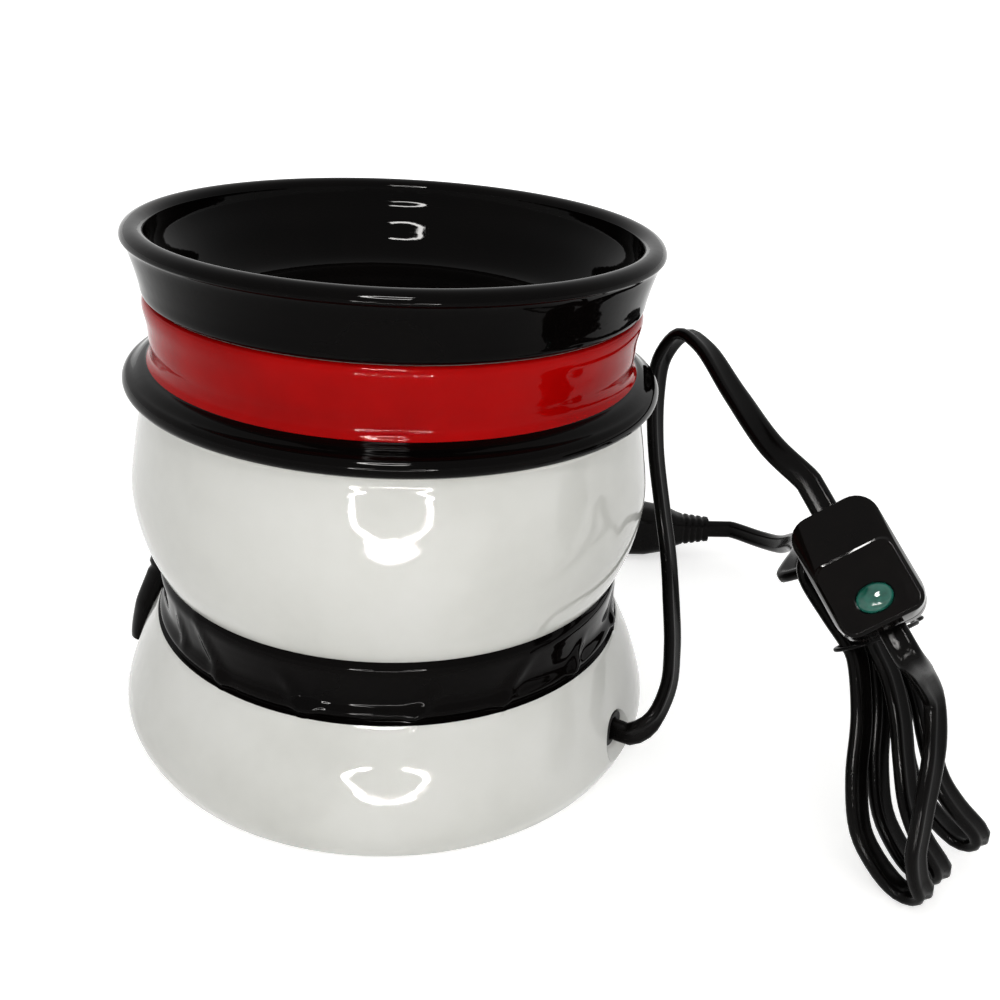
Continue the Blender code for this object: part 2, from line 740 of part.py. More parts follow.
def tube(name, points, radius, resolution, entry, cyclic=False):
    """A round tube along points."""
    data = bpy.data.curves.new(name, "CURVE")
    data.dimensions = "3D"
    data.bevel_depth = radius
    data.bevel_resolution = resolution
    data.use_fill_caps = True
    spline = data.splines.new("POLY")
    spline.points.add(len(points) - 1)
    for knot, point in zip(spline.points, points):
        knot.co = (*point, 1.0)
    spline.use_cyclic_u = cyclic
    data.materials.append(entry)
    made = bpy.data.objects.new(name, data)
    bpy.context.collection.objects.link(made)
    return made


def twin_profile():
    """Cross-section of the flat cord: two round cores joined by a web."""
    data = bpy.data.curves.new("cord_profile", "CURVE")
    lobe = CORD_T / 2
    middle = CORD_W / 2 - lobe
    points = []
    for side in (1, -1):
        for angle in (-96, -48, 0, 48, 96):
            turned = math.radians(angle)
            points.append((side * (middle + lobe * math.cos(turned)), side * lobe * math.sin(turned)))
        points.append((0.0, side * 0.66 * lobe))
    spline = data.splines.new("POLY")
    spline.points.add(len(points) - 1)
    for knot, point in zip(spline.points, reversed(points)):
        knot.co = (*point, 0.0, 1.0)
    spline.use_cyclic_u = True
    made = bpy.data.objects.new("cord_profile", data)
    made.hide_render = True
    made.display_type = "WIRE"
    bpy.context.collection.objects.link(made)
    return made


def flat_cord(name, points, wides, x_axis, y_axis, profile, entry):
    """A flat cord along world points, with its broad side turned as asked.

    The object's own z axis is the up side of the curve, so each point's tilt is
    the angle from that side to the way the broad side lies.
    """
    made = bpy.data.objects.new(name, bpy.data.curves.new(name, "CURVE"))
    bpy.context.collection.objects.link(made)
    place(made, Vector(points[0]), x_axis, y_axis)
    into = made.matrix_world.inverted()
    knots = [into @ Vector(point) for point in points]
    broad = [into.to_3x3() @ Vector(wide) for wide in wides]
    data = made.data
    data.dimensions = "3D"
    data.twist_mode = "Z_UP"
    data.bevel_mode = "OBJECT"
    data.bevel_object = profile
    data.use_fill_caps = True
    spline = data.splines.new("POLY")
    spline.points.add(len(knots) - 1)
    before = None
    for i, knot in enumerate(knots):
        ahead = knots[min(i + 1, len(knots) - 1)] - knot
        behind = knot - knots[max(i - 1, 0)]
        along = (ahead.normalized() + behind.normalized()).normalized()
        level = along.cross(Vector((0, 0, 1))).normalized()
        upward = level.cross(along)
        tilt = math.atan2(-broad[i].dot(upward), broad[i].dot(level))
        if before is not None:
            tilt -= math.pi * round((tilt - before) / math.pi)
        before = tilt
        spline.points[i].co = (*knot, 1.0)
        spline.points[i].tilt = tilt
    data.materials.append(entry)
    return made


def least_gap(points, wides):
    """Least gap between two passes of a wound flat cord, measured on its two cores."""
    fine = []
    for (p, w), (q, v) in zip(zip(points, wides), zip(points[1:], wides[1:])):
        for i in range(6):
            t = i / 6
            fine.append((p.lerp(q, t), w.lerp(v, t).normalized()))
    away = (CORD_W - CORD_T) / 2
    cores = [(p + away * w, p - away * w) for p, w in fine]
    length = [0.0]
    for (p, _), (q, _) in zip(fine, fine[1:]):
        length.append(length[-1] + (q - p).length)
    least = 1.0
    for i, pair in enumerate(cores):
        for j in range(i + 1, len(cores)):
            if length[j] - length[i] < 0.030:
                continue
            least = min(least, min((a - b).length for a in pair for b in cores[j]))
    return least - CORD_T


def ease(t):
    t = min(max(t, 0.0), 1.0)
    return t * t * (3 - 2 * t)


def hank_frame():
    """Middle of the hank's waist and its own axes: outward, upward along it and across the loops."""
    outward = HANK_DOWN.cross(HANK_ACROSS)
    foot = Vector((*HANK_FOOT, HANK_LOW_R + CORD_T / 2 + LYING_GAP))
    return foot - HANK_DOWN * HANK_LOW_LENGTH, outward


def hank_point(away, up, turn_count):
    """A point of the hank: distance from its middle, height over the waist and loops wound so far."""
    waist, outward = hank_frame()
    depth = -up / HANK_LOW_LENGTH
    spread = ease(depth) ** 4
    step = HANK_STEP + (HANK_LOW_STEP - HANK_STEP) * spread
    sway = HANK_SHEAR * ease(depth / 0.70) - HANK_HOOK * ease((depth - 0.68) / 0.50)
    turn_count -= HANK_NEARER * spread * turn_count * (HANK_LOOPS - 1 - turn_count)
    across = (turn_count - (HANK_LOOPS - 1) / 2) * step
    across -= (1 - HANK_STRAIGHTER * turn_count**2) * sway
    across += HANK_TOP_SHEAR * ease(up / HANK_TOP_LENGTH)
    return waist + outward * away - HANK_DOWN * up + HANK_ACROSS * across


def hank_side(sign, up):
    """Distance of one side of a loop from the middle: least at the waist, leaning back on top."""
    if up < 0:
        share = -up / HANK_LOW_LENGTH
        bulge = HANK_BULGE * math.sin(math.pi * min(share, 1.0)) ** 2
        return sign * (HANK_WAIST + (HANK_LOW_R - HANK_WAIST) * ease(share) + bulge)
    share = up / HANK_TOP_LENGTH
    return sign * (HANK_WAIST + (HANK_TOP_R - HANK_WAIST) * ease(share)) - HANK_LEAN * ease(share)


def half_turn(radius, up, lean, sign, count, steps=6):
    """A turn at one end of the hank, from one side of a loop to the other."""
    points = []
    for i in range(steps + 1):
        angle = math.pi * i / steps
        away = sign * radius * math.cos(angle) - lean
        points.append(hank_point(away, up - sign * radius * math.sin(angle), count))
    return points


def hank_route():
    """Points and broad sides of the hank, from the switch to the end that leaves for the plug."""
    start = switch_middle() + SWITCH_DOWN * (SWITCH_L / 2 + FIT)
    lead = [start + SWITCH_DOWN * CORD_W]
    rise = HANK_LOW_LENGTH + HANK_TOP_LENGTH
    for share, spare in ((0.26, 0.0125), (0.46, 0.0115), (0.66, 0.0085), (0.86, 0.0035)):
        up = -HANK_LOW_LENGTH * share
        lead.append(hank_point(hank_side(1, up) + spare, up, 0.9 * spare / HANK_LOW_STEP))
    points = [start, *smooth(lead, 2)]
    for k in range(HANK_LOOPS):
        if k > 0:
            for share in (0.15, 0.28, 0.40, 0.53, 0.66, 0.79, 0.90):
                up = HANK_TOP_LENGTH - (rise - k * HANK_LOW_RISE) * share
                points.append(hank_point(hank_side(1, up), up, k - 1 + ease(share / HANK_CLIMB_END)))
        low = HANK_LOW_LENGTH - k * HANK_LOW_RISE
        points += half_turn(HANK_LOW_R, -low, 0.0, 1, k)
        for share in (0.88, 0.73, 0.52, 0.26, 0.0):
            points.append(hank_point(hank_side(-1, -share * low), -share * low, k))
        points.append(hank_point(hank_side(-1, TIE_UP), TIE_UP, k))
        if k < HANK_LOOPS - 1:
            up = 0.5 * HANK_TOP_LENGTH
            points.append(hank_point(hank_side(-1, up), up, k))
            points += half_turn(HANK_TOP_R, HANK_TOP_LENGTH, HANK_LEAN, -1, k)
    for i in range(4):
        angle = math.pi / 2 * i / 3
        away = hank_side(-1, HANK_LEAVE_UP) - HANK_LEAVE_R * (1 - math.cos(angle))
        points.append(hank_point(away, HANK_LEAVE_UP + HANK_LEAVE_R * math.sin(angle), HANK_LOOPS - 1))
    points.append(points[-1] - hank_frame()[1] * CORD_W)
    wides = [switch_across()] * 2 + [HANK_ACROSS] * (len(points) - 2)
    return points, wides


def switch_middle():
    return SWITCH_ENTRY + SWITCH_DOWN * SWITCH_L / 2


def switch_across():
    return SWITCH_FACE.cross(SWITCH_DOWN).normalized()


def blend(route, spacing):
    """Points and broad sides at about a spacing, read from a smooth curve through a route of such pairs."""
    given = [Vector(point) for point, _ in route]
    broad = [Vector(wide).normalized() for _, wide in route]
    counts = [max(1, round((q - p).length / spacing)) for p, q in zip(given, given[1:])]
    wides = []
    for w, v, count in zip(broad, broad[1:], counts):
        wides += [w.lerp(v, i / count).normalized() for i in range(count)]
    return smooth(given, counts), [*wides, broad[-1]]


def plug_axis():
    """The way the plug's neck points."""
    level = Vector((math.cos(PLUG_TURN), math.sin(PLUG_TURN), 0.0))
    return level * math.cos(PLUG_TILT) + Vector((0, 0, math.sin(PLUG_TILT)))


def cords(black, wire):
    profile = twin_profile()
    upright = Vector((0, 0, 1))
    side = Vector((1, 0, 0))

    across = switch_across()
    inner = HOLE_OUT * (BELLY_R - 4.0 * WALL) + upright * HOLE_Z
    mouth = HOLE_OUT * BELLY_R + upright * HOLE_Z
    end = SWITCH_ENTRY - SWITCH_DOWN * FIT
    route = [
        (inner, upright),
        (mouth, upright),
        (mouth + HOLE_OUT * 0.3 * CORD_W, upright),
        ((0.0790, -0.0400, 0.0225), (-0.30, -0.20, 0.90)),
        ((0.0842, -0.0315, 0.0285), (-0.50, -0.50, 0.70)),
        ((0.0864, -0.0180, 0.0343), (-0.57, -0.65, 0.50)),
        ((0.0869, -0.0020, 0.0419), (-0.60, -0.74, 0.30)),
        ((0.0860, 0.0095, 0.0520), (-0.60, -0.74, 0.30)),
        ((0.0836, 0.0185, 0.0640), (-0.60, -0.74, 0.30)),
        ((0.0803, 0.0255, 0.0810), (-0.60, -0.74, 0.30)),
        ((0.0786, 0.0280, 0.0979), (-0.65, -0.70, 0.20)),
        ((0.0788, 0.0263, 0.1105), (-0.75, -0.60, 0.20)),
        ((0.0832, 0.0208, 0.1200), (-0.81, -0.46, 0.20)),
        ((0.0882, 0.0120, 0.1194), (-0.81, -0.46, 0.10)),
        ((0.0955, -0.0070, 0.1120), (-0.90, -0.30, -0.20)),
        ((0.1035, -0.0270, 0.1045), -across),
        (end - SWITCH_DOWN * 1.3 * CORD_W, -across),
        (end - SWITCH_DOWN * CORD_W, -across),
        (end, -across),
    ]
    flat_cord("cord_to_switch", *blend(route, CORD_SPACING), side, upright, profile, black)

    points, wides = hank_route()
    outward = hank_frame()[1]
    flat_cord("cord_hank", points, wides, outward, -HANK_DOWN, profile, black)
    print("cord_hank least gap to itself: %.2f mm" % (1000 * least_gap(points, wides)))

    start = points[-1] - outward * FIT
    neck = plug_neck_end() + plug_axis() * FIT
    route = [
        (start, HANK_ACROSS),
        (start - outward * CORD_W, HANK_ACROSS),
        (start - outward * 1.3 * CORD_W, HANK_ACROSS),
        ((0.1295, 0.0180, 0.0515), (0.75, 0.20, 0.50)),
        ((0.1365, 0.0450, 0.0405), (0.50, 0.20, 0.80)),
        ((0.1410, 0.0680, 0.0302), (0.20, 0.20, 0.95)),
        ((0.1413, 0.0860, 0.0200), upright),
        ((0.1370, 0.0995, 0.0150), upright),
        (neck + plug_axis() * 1.3 * CORD_W, upright),
        (neck + plug_axis() * CORD_W, upright),
        (neck, upright),
    ]
    flat_cord("cord_to_plug", *blend(route, CORD_SPACING), side, Vector((0, 1, 0)), profile, black)

    sides = [hank_side(sign, TIE_UP) for sign in (1, -1)]
    reach = (sides[0] - sides[1]) / 2 + CORD_T / 2 + TIE_PLAY + TIE_R
    back = (HANK_LOOPS - 1) / 2 * HANK_STEP + CORD_W / 2 + TIE_PLAY + TIE_R
    front = -back
    middle = hank_point(sum(sides) / 2, TIE_UP, (HANK_LOOPS - 1) / 2)
    path = []
    for i in range(9):
        angle = math.pi * (0.80 - 1.60 * i / 8)
        path.append((TIE_EAR_R * math.sin(angle), back + 1.4 * TIE_EAR_R * (1 + math.cos(angle))))
    path += [(-0.6 * reach, back), (-reach, back - 0.5 * reach)]
    path += [(-reach, front + 0.5 * reach), (-0.6 * reach, front), (0.6 * reach, front)]
    path += [(reach, front + 0.5 * reach), (reach, back - 0.5 * reach), (0.6 * reach, back)]
    tube("cord_tie", [middle + outward * n + HANK_ACROSS * a for n, a in path], TIE_R, 1, wire)


def lead_pieces(live, neutral):
    """The two cores from the inner end of the cord to the terminals of the holder."""
    across = Vector((-HOLE_OUT.y, HOLE_OUT.x, 0.0))
    inner = HOLE_OUT * (BELLY_R - 4.0 * WALL - FIT) + Vector((0, 0, HOLE_Z))
    core = (CORD_W - CORD_T) / 2
    for name, side, entry in (("lead_live", 1, live), ("lead_neutral", -1, neutral)):
        start = inner + Vector((0, 0, side * core))
        end = terminal_at(side) + HOLE_OUT * (TERMINAL_T / 2 + FIT)
        middle = start.lerp(end, 0.5) + across * side * LEAD_SPREAD
        leaving = [start - HOLE_OUT * n * CORE_R for n in (0, 2, 4)]
        arriving = [end + HOLE_OUT * n * CORE_R for n in (4, 2, 0)]
        tube(name, smooth([*leaving, middle, *arriving], 3), CORE_R, 1, entry)


def bush_seat():
    """Distance from the axis of the flat seat, inside the wall, that the bush's flange lies on."""
    return BELLY_R - WALL - BUSH_SEAT_IN


def bush(rubber):
    """Rubber bush in the cord hole, with a slot for the flat cord."""
    inner = bush_seat() - BUSH_FLANGE_T
    outline = [
        (0.0, BELLY_R - HOLE_MOUTH_DEPTH),
        (HOLE_R - FIT, BELLY_R - HOLE_MOUTH_DEPTH),
        (HOLE_R - FIT, bush_seat()),
        (BUSH_FLANGE_R, bush_seat()),
        (BUSH_FLANGE_R, inner),
        (0.0, inner),
    ]
    made = make("cord_grommet", turn(outline, 24), rubber)
    across = Vector((-HOLE_OUT.y, HOLE_OUT.x, 0.0))
    place(made, Vector((0, 0, HOLE_Z)), Vector((0, 0, -1)), across)
    low, high = inner - 0.002, BELLY_R
    ring = rounded(CORD_W + 2 * FIT, CORD_T + 2 * FIT, CORD_T / 2, 5)
    slot = [[(x, y, z) for x, y in ring] for z in (low, high)]
    cutter = make("bush_slot", loft(slot))
    cutter.matrix_world = made.matrix_world
    combine(made, cutter)


def cord_hole(body):
    outline = [
        (0.0, BELLY_R + HOLE_CLEAR),
        (HOLE_MOUTH_R + 0.0045, BELLY_R + HOLE_CLEAR),
        (HOLE_MOUTH_R + 0.0045, BELLY_R + 0.004),
        (HOLE_MOUTH_R, BELLY_R - 0.0006),
        (HOLE_R, BELLY_R - HOLE_MOUTH_DEPTH),
        (HOLE_R, bush_seat() + FIT),
        (BUSH_FLANGE_R + 2 * FIT, bush_seat() + FIT),
        (BUSH_FLANGE_R + 2 * FIT, BELLY_R - 3 * WALL),
        (0.0, BELLY_R - 3 * WALL),
    ]
    cutter = make("cord_hole", turn(outline, 24))
    across = Vector((-HOLE_OUT.y, HOLE_OUT.x, 0.0))
    place(cutter, Vector((0, 0, HOLE_Z)), Vector((0, 0, -1)), across)
    combine(body, cutter)


# Switch


def on_switch(obj, across=0.0, along=0.0):
    """Place a piece that was modelled flat, with its face up and the cord's way in at +Y."""
    side = switch_across()
    return place(obj, switch_middle() + side * across - SWITCH_DOWN * along, side, -SWITCH_DOWN)


def switch_pieces(black, green, brass, zinc):
    half = SWITCH_T / 2
    ends = SWITCH_END_T / 2

    flat_l = SWITCH_L - SWITCH_SLOPE_TOP - SWITCH_SLOPE_LOW
    flat_y = (SWITCH_SLOPE_LOW - SWITCH_SLOPE_TOP) / 2

    def shell(name, levels):
        rings = []
        for width, length, middle, corner, z in levels:
            rings.append([(x, y + middle, z) for x, y in rounded(width, length, corner, 5)])
        return on_switch(make(name, loft(rings), black, crease=30))

    split = FIT / 2
    full = (SWITCH_W, SWITCH_L, 0.0, SWITCH_CORNER)
    narrow = SWITCH_W - SWITCH_DRAFT
    rim = (narrow, flat_l + SWITCH_DRAFT, flat_y, 0.6 * SWITCH_CORNER, half - SWITCH_DRAFT / 2)
    face = (narrow - SWITCH_DRAFT, flat_l, flat_y, 0.5 * SWITCH_CORNER, half)
    under = (SWITCH_W - 2 * SWITCH_DRAFT, SWITCH_L - 4 * SWITCH_DRAFT, 0.0, 0.8 * SWITCH_CORNER, -half)
    cover = shell("switch_cover", [(*full, split), (*full, ends), rim, face])
    base = shell("switch_base", [under, (*full, -ends), (*full, -split)])

    pocket_w = SWITCH_W - 2 * SWITCH_WALL - 2 * SWITCH_DRAFT
    button_l = BUTTON_L / BUTTON_W
    pocket_l = (BUTTON_W + 2 * BUTTON_FLANGE + 2 * POCKET_PLAY) * button_l
    roof = half - SWITCH_WALL
    pocket = on_switch(make("switch_pocket", box((pocket_w, pocket_l, 2 * roof))), 0.0, -BUTTON_BELOW)
    combine(cover, pocket)

    def oval(outline, name, entry):
        bm = turn(outline, LAMP_STEPS)
        bmesh.ops.scale(bm, vec=(1, button_l, 1), verts=bm.verts)
        return on_switch(make(name, bm, *entry), 0.0, -BUTTON_BELOW)

    bore = oval(stand(BUTTON_W / 2 + FIT, 0.0, half + 0.01), "button_bore", ())
    combine(cover, bore)
    flange_top = roof - FIT
    r = BUTTON_W / 2
    outline = [(0.0, half + BUTTON_PROUD)]
    for angle in (60, 30, 8):
        turned = math.radians(angle)
        outline.append((r * math.cos(turned), half + BUTTON_PROUD * math.sin(turned)))
    outline += [
        (r, half - 0.0004),
        (r, flange_top),
        (r + BUTTON_FLANGE, flange_top),
        (r + BUTTON_FLANGE, flange_top - BUTTON_FLANGE),
        (0.0, flange_top - BUTTON_FLANGE),
    ]
    oval(outline, "switch_button", (green,))

    top = flange_top - BUTTON_FLANGE - BUTTON_TRAVEL - FIT
    strip_t = 0.0012
    side = 0.28 * pocket_w
    strip = box((0.004, 0.8 * pocket_l, strip_t), (0, -BUTTON_BELOW, split + FIT + strip_t / 2))
    strips = several(["switch_contact_left", "switch_contact_right"], strip, [(0, 0, 0)] * 2, brass)
    high = top - split - FIT - strip_t / 2
    post = box((0.003, 0.003, high), (0, -BUTTON_BELOW, top - high / 2))
    posts = several(["contact_post_left", "contact_post_right"], post, [(0, 0, 0)] * 2)
    for strip, post, across in zip(strips, posts, (-side, side)):
        on_switch(strip, across)
        on_switch(post, across)
        combine(strip, post, "UNION")

    tip = ends - 0.0008
    sink = -half + 0.0016
    hole_r = SWITCH_SCREW_R + SCREW_PLAY
    head_r = SWITCH_SCREW_HEAD_R + SCREW_PLAY
    hole = [(0.0, tip + FIT), (hole_r, tip + FIT), (hole_r, sink), (head_r, sink), (head_r, -half - 0.005)]
    hole = turn([*hole, (0.0, -half - 0.005)], 16)
    holes = several(["switch_hole_top", "switch_hole_low"], hole, [(0, 0, 0)] * 2)
    low = sink - FIT
    screw = [
        (0.0, tip),
        (SWITCH_SCREW_R, tip),
        (SWITCH_SCREW_R, low),
        (SWITCH_SCREW_HEAD_R, low),
        (SWITCH_SCREW_HEAD_R, low - SWITCH_SCREW_HEAD_H),
        (0.0, low - SWITCH_SCREW_HEAD_H),
    ]
    screws = several(["switch_screw_top", "switch_screw_low"], turn(screw, 16), [(0, 0, 0)] * 2, zinc)
    for hole, screw, along in zip(holes, screws, (SWITCH_SCREW_ABOVE, -SWITCH_SCREW_BELOW)):
        on_switch(hole, 0.0, along)
        on_switch(screw, 0.0, along)
        combine(cover, hole)
        combine(base, hole)


# Plug


def plug_middle():
    """Middle of the plug's body, which lies on its lower edge."""
    high = PLUG_W / 2 * math.cos(PLUG_TILT) + PLUG_BODY_L / 2 * math.sin(PLUG_TILT)
    return Vector((PLUG_X, PLUG_Y, high + LYING_GAP))


def plug_neck_end():
    return plug_middle() + plug_axis() * (PLUG_BODY_L / 2 + PLUG_NECK_L)


def plug_pieces(black, steel):
    """Two-pin plug: modelled with its neck up, its wide side along x."""
    axis = plug_axis()
    wide = Vector((0, 0, 1)) - axis * axis.z
    wide.normalize()
    back = -PLUG_BODY_L / 2
    front = PLUG_BODY_L / 2
    levels = [
        (PLUG_W - 0.0020, PLUG_T - 0.0020, back),
        (PLUG_W, PLUG_T, back + 0.0012),
        (PLUG_W, PLUG_T, back + 0.45 * PLUG_BODY_L),
        (0.86 * PLUG_W, 0.92 * PLUG_T, front - 0.0050),
        (0.64 * PLUG_W, 0.74 * PLUG_T, front),
        (PLUG_NECK_W + 0.0010, PLUG_NECK_W - 0.0008, front + 0.0018),
        (PLUG_NECK_W - 0.0018, PLUG_NECK_W - 0.0032, front + PLUG_NECK_L),
    ]
    rings = [[(x, y, z) for x, y in rounded(w, t, 0.36 * t, 4)] for w, t, z in levels]
    body = make("plug_body", loft(rings), black, crease=30)
    place(body, plug_middle(), wide, axis.cross(wide))

    blade = box((BLADE_T, BLADE_W, BLADE_L), (0, 0, back - FIT - BLADE_L / 2))
    tip = [e for e in blade.edges if all(v.co.z < back - BLADE_L / 2 for v in e.verts)]
    tip = [e for e in tip if abs(e.verts[0].co.x - e.verts[1].co.x) > BLADE_T / 2]
    bmesh.ops.bevel(blade, geom=tip, offset=0.0018, segments=2, affect="EDGES", profile=0.5)
    blades = several(["plug_blade_upper", "plug_blade_lower"], blade, [(0, 0, 0)] * 2, steel)
    for obj, side in zip(blades, (1, -1)):
        place(obj, plug_middle() + wide * side * BLADE_PITCH / 2, wide, axis.cross(wide))


def build():
    for obj in list(bpy.data.objects):
        bpy.data.objects.remove(obj, do_unlink=True)

    white = material("white_glaze", (0.72, 0.71, 0.68), 0.12)
    black = material("black_glaze", (0.006, 0.005, 0.005), 0.10)
    red = material("red_glaze", (0.36, 0.004, 0.004), 0.12)
    steel = material("plate_steel", (0.10, 0.10, 0.11), 0.45, 1.0)
    zinc = material("zinc_plate", (0.62, 0.63, 0.65), 0.35, 1.0)
    brass = material("brass", (0.75, 0.58, 0.28), 0.30, 1.0)
    rubber = material("rubber", (0.015, 0.015, 0.015), 0.75)
    porcelain = material("holder_porcelain", (0.80, 0.78, 0.72), 0.25)
    dark = material("black_insulator", (0.02, 0.02, 0.02), 0.40)
    glass = material("bulb_glass", (0.95, 0.95, 0.95), 0.03)
    tungsten = material("tungsten", (0.35, 0.34, 0.33), 0.40, 1.0)
    vinyl = material("cord_vinyl", (0.010, 0.010, 0.010), 0.35)
    plastic = material("switch_plastic", (0.012, 0.012, 0.013), 0.35)
    green = material("button_green", (0.02, 0.20, 0.15), 0.20)
    wire = material("tie_wire", (0.02, 0.02, 0.02), 0.40)
    live = material("lead_black", (0.02, 0.02, 0.02), 0.45)
    neutral = material("lead_white", (0.75, 0.75, 0.72), 0.45)

    body = casting(white, black, red)
    combine(body, scarf_tail(black), "UNION")
    cord_hole(body)
    dish(black)
    foot_pieces(steel, zinc, rubber)
    holder_pieces(porcelain, brass, zinc)
    lamp_pieces(brass, dark, glass, tungsten)
    bush(rubber)
    lead_pieces(live, neutral)
    cords(vinyl, wire)
    switch_pieces(plastic, green, brass, zinc)
    plug_pieces(vinyl, steel)


build()
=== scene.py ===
# %% [markdown]
# # A glazed wax warmer, dressed for the studio
# The object is a hollow ceramic warmer with a loose dish on top, a small lamp inside, and a flat
# cord with a push switch, a tied hank and a plug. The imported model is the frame: it says where every
# piece is and what moves with what. This script keeps the frame as it is and lays finer surfaces and
# finishes over it.

# %% Load the frame
import math

import bmesh
import bpy
from mathutils import Matrix, Vector


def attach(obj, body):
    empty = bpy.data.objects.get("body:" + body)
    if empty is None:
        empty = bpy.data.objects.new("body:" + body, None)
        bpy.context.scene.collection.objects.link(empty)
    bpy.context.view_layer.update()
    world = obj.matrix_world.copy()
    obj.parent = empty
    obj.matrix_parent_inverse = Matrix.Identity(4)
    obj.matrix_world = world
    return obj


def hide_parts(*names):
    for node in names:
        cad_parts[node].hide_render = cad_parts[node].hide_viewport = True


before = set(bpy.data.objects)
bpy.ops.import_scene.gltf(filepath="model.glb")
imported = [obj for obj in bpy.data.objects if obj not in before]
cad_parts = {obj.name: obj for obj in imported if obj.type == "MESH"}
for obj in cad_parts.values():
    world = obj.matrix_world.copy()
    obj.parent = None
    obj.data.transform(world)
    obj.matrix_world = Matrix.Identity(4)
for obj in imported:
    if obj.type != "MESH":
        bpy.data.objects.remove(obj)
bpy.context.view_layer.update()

# %% [markdown]
# ## Camera
# The photograph was taken from a little above the table and close by, with the camera tilted a few
# degrees. A pinhole camera needs only a place, three directions and a focal length in pixels, which are
# turned into a lens and a matrix. The picture is 1000 pixels wide.

# %% Camera at the photograph's angle
PICTURE = 1000
FOCAL_PX = 1128
SENSOR_MM = 36.0
PITCH = math.radians(24.99)
ROLL = math.radians(3.70)
EYE = Vector((0.0320, -0.3071, 0.2144))

ahead = Vector((0.0, math.cos(PITCH), -math.sin(PITCH)))
level = Vector((1.0, 0.0, 0.0))
above = level.cross(ahead)
right = math.cos(ROLL) * level + math.sin(ROLL) * above
upright = -math.sin(ROLL) * level + math.cos(ROLL) * above
camera = bpy.data.objects.new("camera", bpy.data.cameras.new("camera"))
bpy.context.collection.objects.link(camera)
camera.data.sensor_width = SENSOR_MM
camera.data.lens = SENSOR_MM * FOCAL_PX / PICTURE
camera.data.clip_start = 0.01
camera.matrix_world = Matrix.Translation(EYE) @ Matrix((right, upright, -ahead)).transposed().to_4x4()
bpy.context.scene.camera = camera
bpy.context.scene.view_settings.view_transform = "Standard"
print("lens %.1f mm" % camera.data.lens)

# %% [markdown]
# ## Building blocks
# Three small helpers make nearly every turned form here. `piece` turns a bmesh into a finished object
# that rides on a body. `flow` reads points from a smooth curve through a few given ones, so that a profile
# can be described by the handful of points that a potter would name. `spun` turns such a profile round
# the upright axis, which is how thrown and cast pottery gets its shape.

# %% Helpers for pieces, curves and turned forms
MERGE_WITHIN = 2e-6


def mesh_of(name, bm):
    """A mesh from a bmesh, which is used up."""
    mesh = bpy.data.meshes.new(name)
    bm.to_mesh(mesh)
    bm.free()
    return mesh


def placed(name, data):
    """A new object in the scene."""
    made = bpy.data.objects.new(name, data)
    bpy.context.collection.objects.link(made)
    return made


def piece(name, bm, finishes, body="warmer", node=(), crease=40.0):
    """A finished object from a bmesh, on its body, in place of the nodes it stands for."""
    bmesh.ops.recalc_face_normals(bm, faces=bm.faces)
    mesh = mesh_of(name, bm)
    mesh.shade_smooth()
    mesh.set_sharp_from_angle(angle=math.radians(crease))
    for used in finishes:
        mesh.materials.append(used)
    made = placed(name, mesh)
    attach(made, body)
    if node:
        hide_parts(*node)
    return made


def flow(points, count):
    """Points of a smooth curve through the given ones, so many for each span."""
    given = [Vector(point) for point in points]
    given = [2 * given[0] - given[1], *given, 2 * given[-1] - given[-2]]
    counts = count if isinstance(count, list) else [count] * (len(points) - 1)
    read = []
    for a, b, c, d, steps in zip(given, given[1:], given[2:], given[3:], counts):
        t1 = math.sqrt((b - a).length)
        t2 = t1 + math.sqrt((c - b).length)
        t3 = t2 + math.sqrt((d - c).length)
        for i in range(steps):
            t = t1 + (t2 - t1) * i / steps
            ab = a + (b - a) * (t / t1)
            bc = b + (c - b) * ((t - t1) / (t2 - t1))
            cd = c + (d - c) * ((t - t2) / (t3 - t2))
            abc = ab + (bc - ab) * (t / t2)
            bcd = bc + (cd - bc) * ((t - t1) / (t3 - t1))
            read.append(abc + (bcd - abc) * ((t - t1) / (t2 - t1)))
    read.append(given[-2])
    return read


def arc(x, y, wide, high, angles):
    """Points of an oval about a middle, at angles in degrees."""
    turned = [math.radians(angle) for angle in angles]
    return [(x + wide * math.cos(a), y + high * math.sin(a)) for a in turned]


def spun(bm, profile, steps, finish=0):
    """Turn a profile of (radius, height) about the upright axis and give its faces a finish."""
    turned = bmesh.new()
    verts = [turned.verts.new((p[0], 0.0, p[1])) for p in profile]
    edges = [turned.edges.new(pair) for pair in zip(verts, verts[1:])]
    bmesh.ops.spin(
        turned, geom=verts + edges, cent=(0, 0, 0), axis=(0, 0, 1),
        angle=2 * math.pi, steps=steps, use_merge=True,
    )
    for face in turned.faces:
        face.material_index = finish
    mesh = mesh_of("turned", turned)
    bm.from_mesh(mesh)
    bpy.data.meshes.remove(mesh)


def closed_up(bm):
    """Merge the points that neighbouring zones share."""
    bmesh.ops.remove_doubles(bm, verts=bm.verts, dist=MERGE_WITHIN)
    return bm


print("ready: piece, flow, arc, spun, closed_up")

# %% [markdown]
# Moulded pieces aren't turned. `lofted` stretches a skin over a row of sections, `rounded` draws the
# commonest section, and `cut` takes the shape of a tool out of a piece, as a drill or a mill does.

# %% Helpers for sections and cuts
def lofted(rings):
    """A skin through rings of equally many points, with flat ends."""
    bm = bmesh.new()
    loops = []
    for ring in rings:
        verts = [bm.verts.new(point) for point in ring]
        loops.append([bm.edges.new(pair) for pair in zip(verts, verts[1:] + verts[:1])])
    for lower, upper in zip(loops, loops[1:]):
        bmesh.ops.bridge_loops(bm, edges=lower + upper)
    bmesh.ops.contextual_create(bm, geom=loops[0])
    bmesh.ops.contextual_create(bm, geom=loops[-1])
    return bm


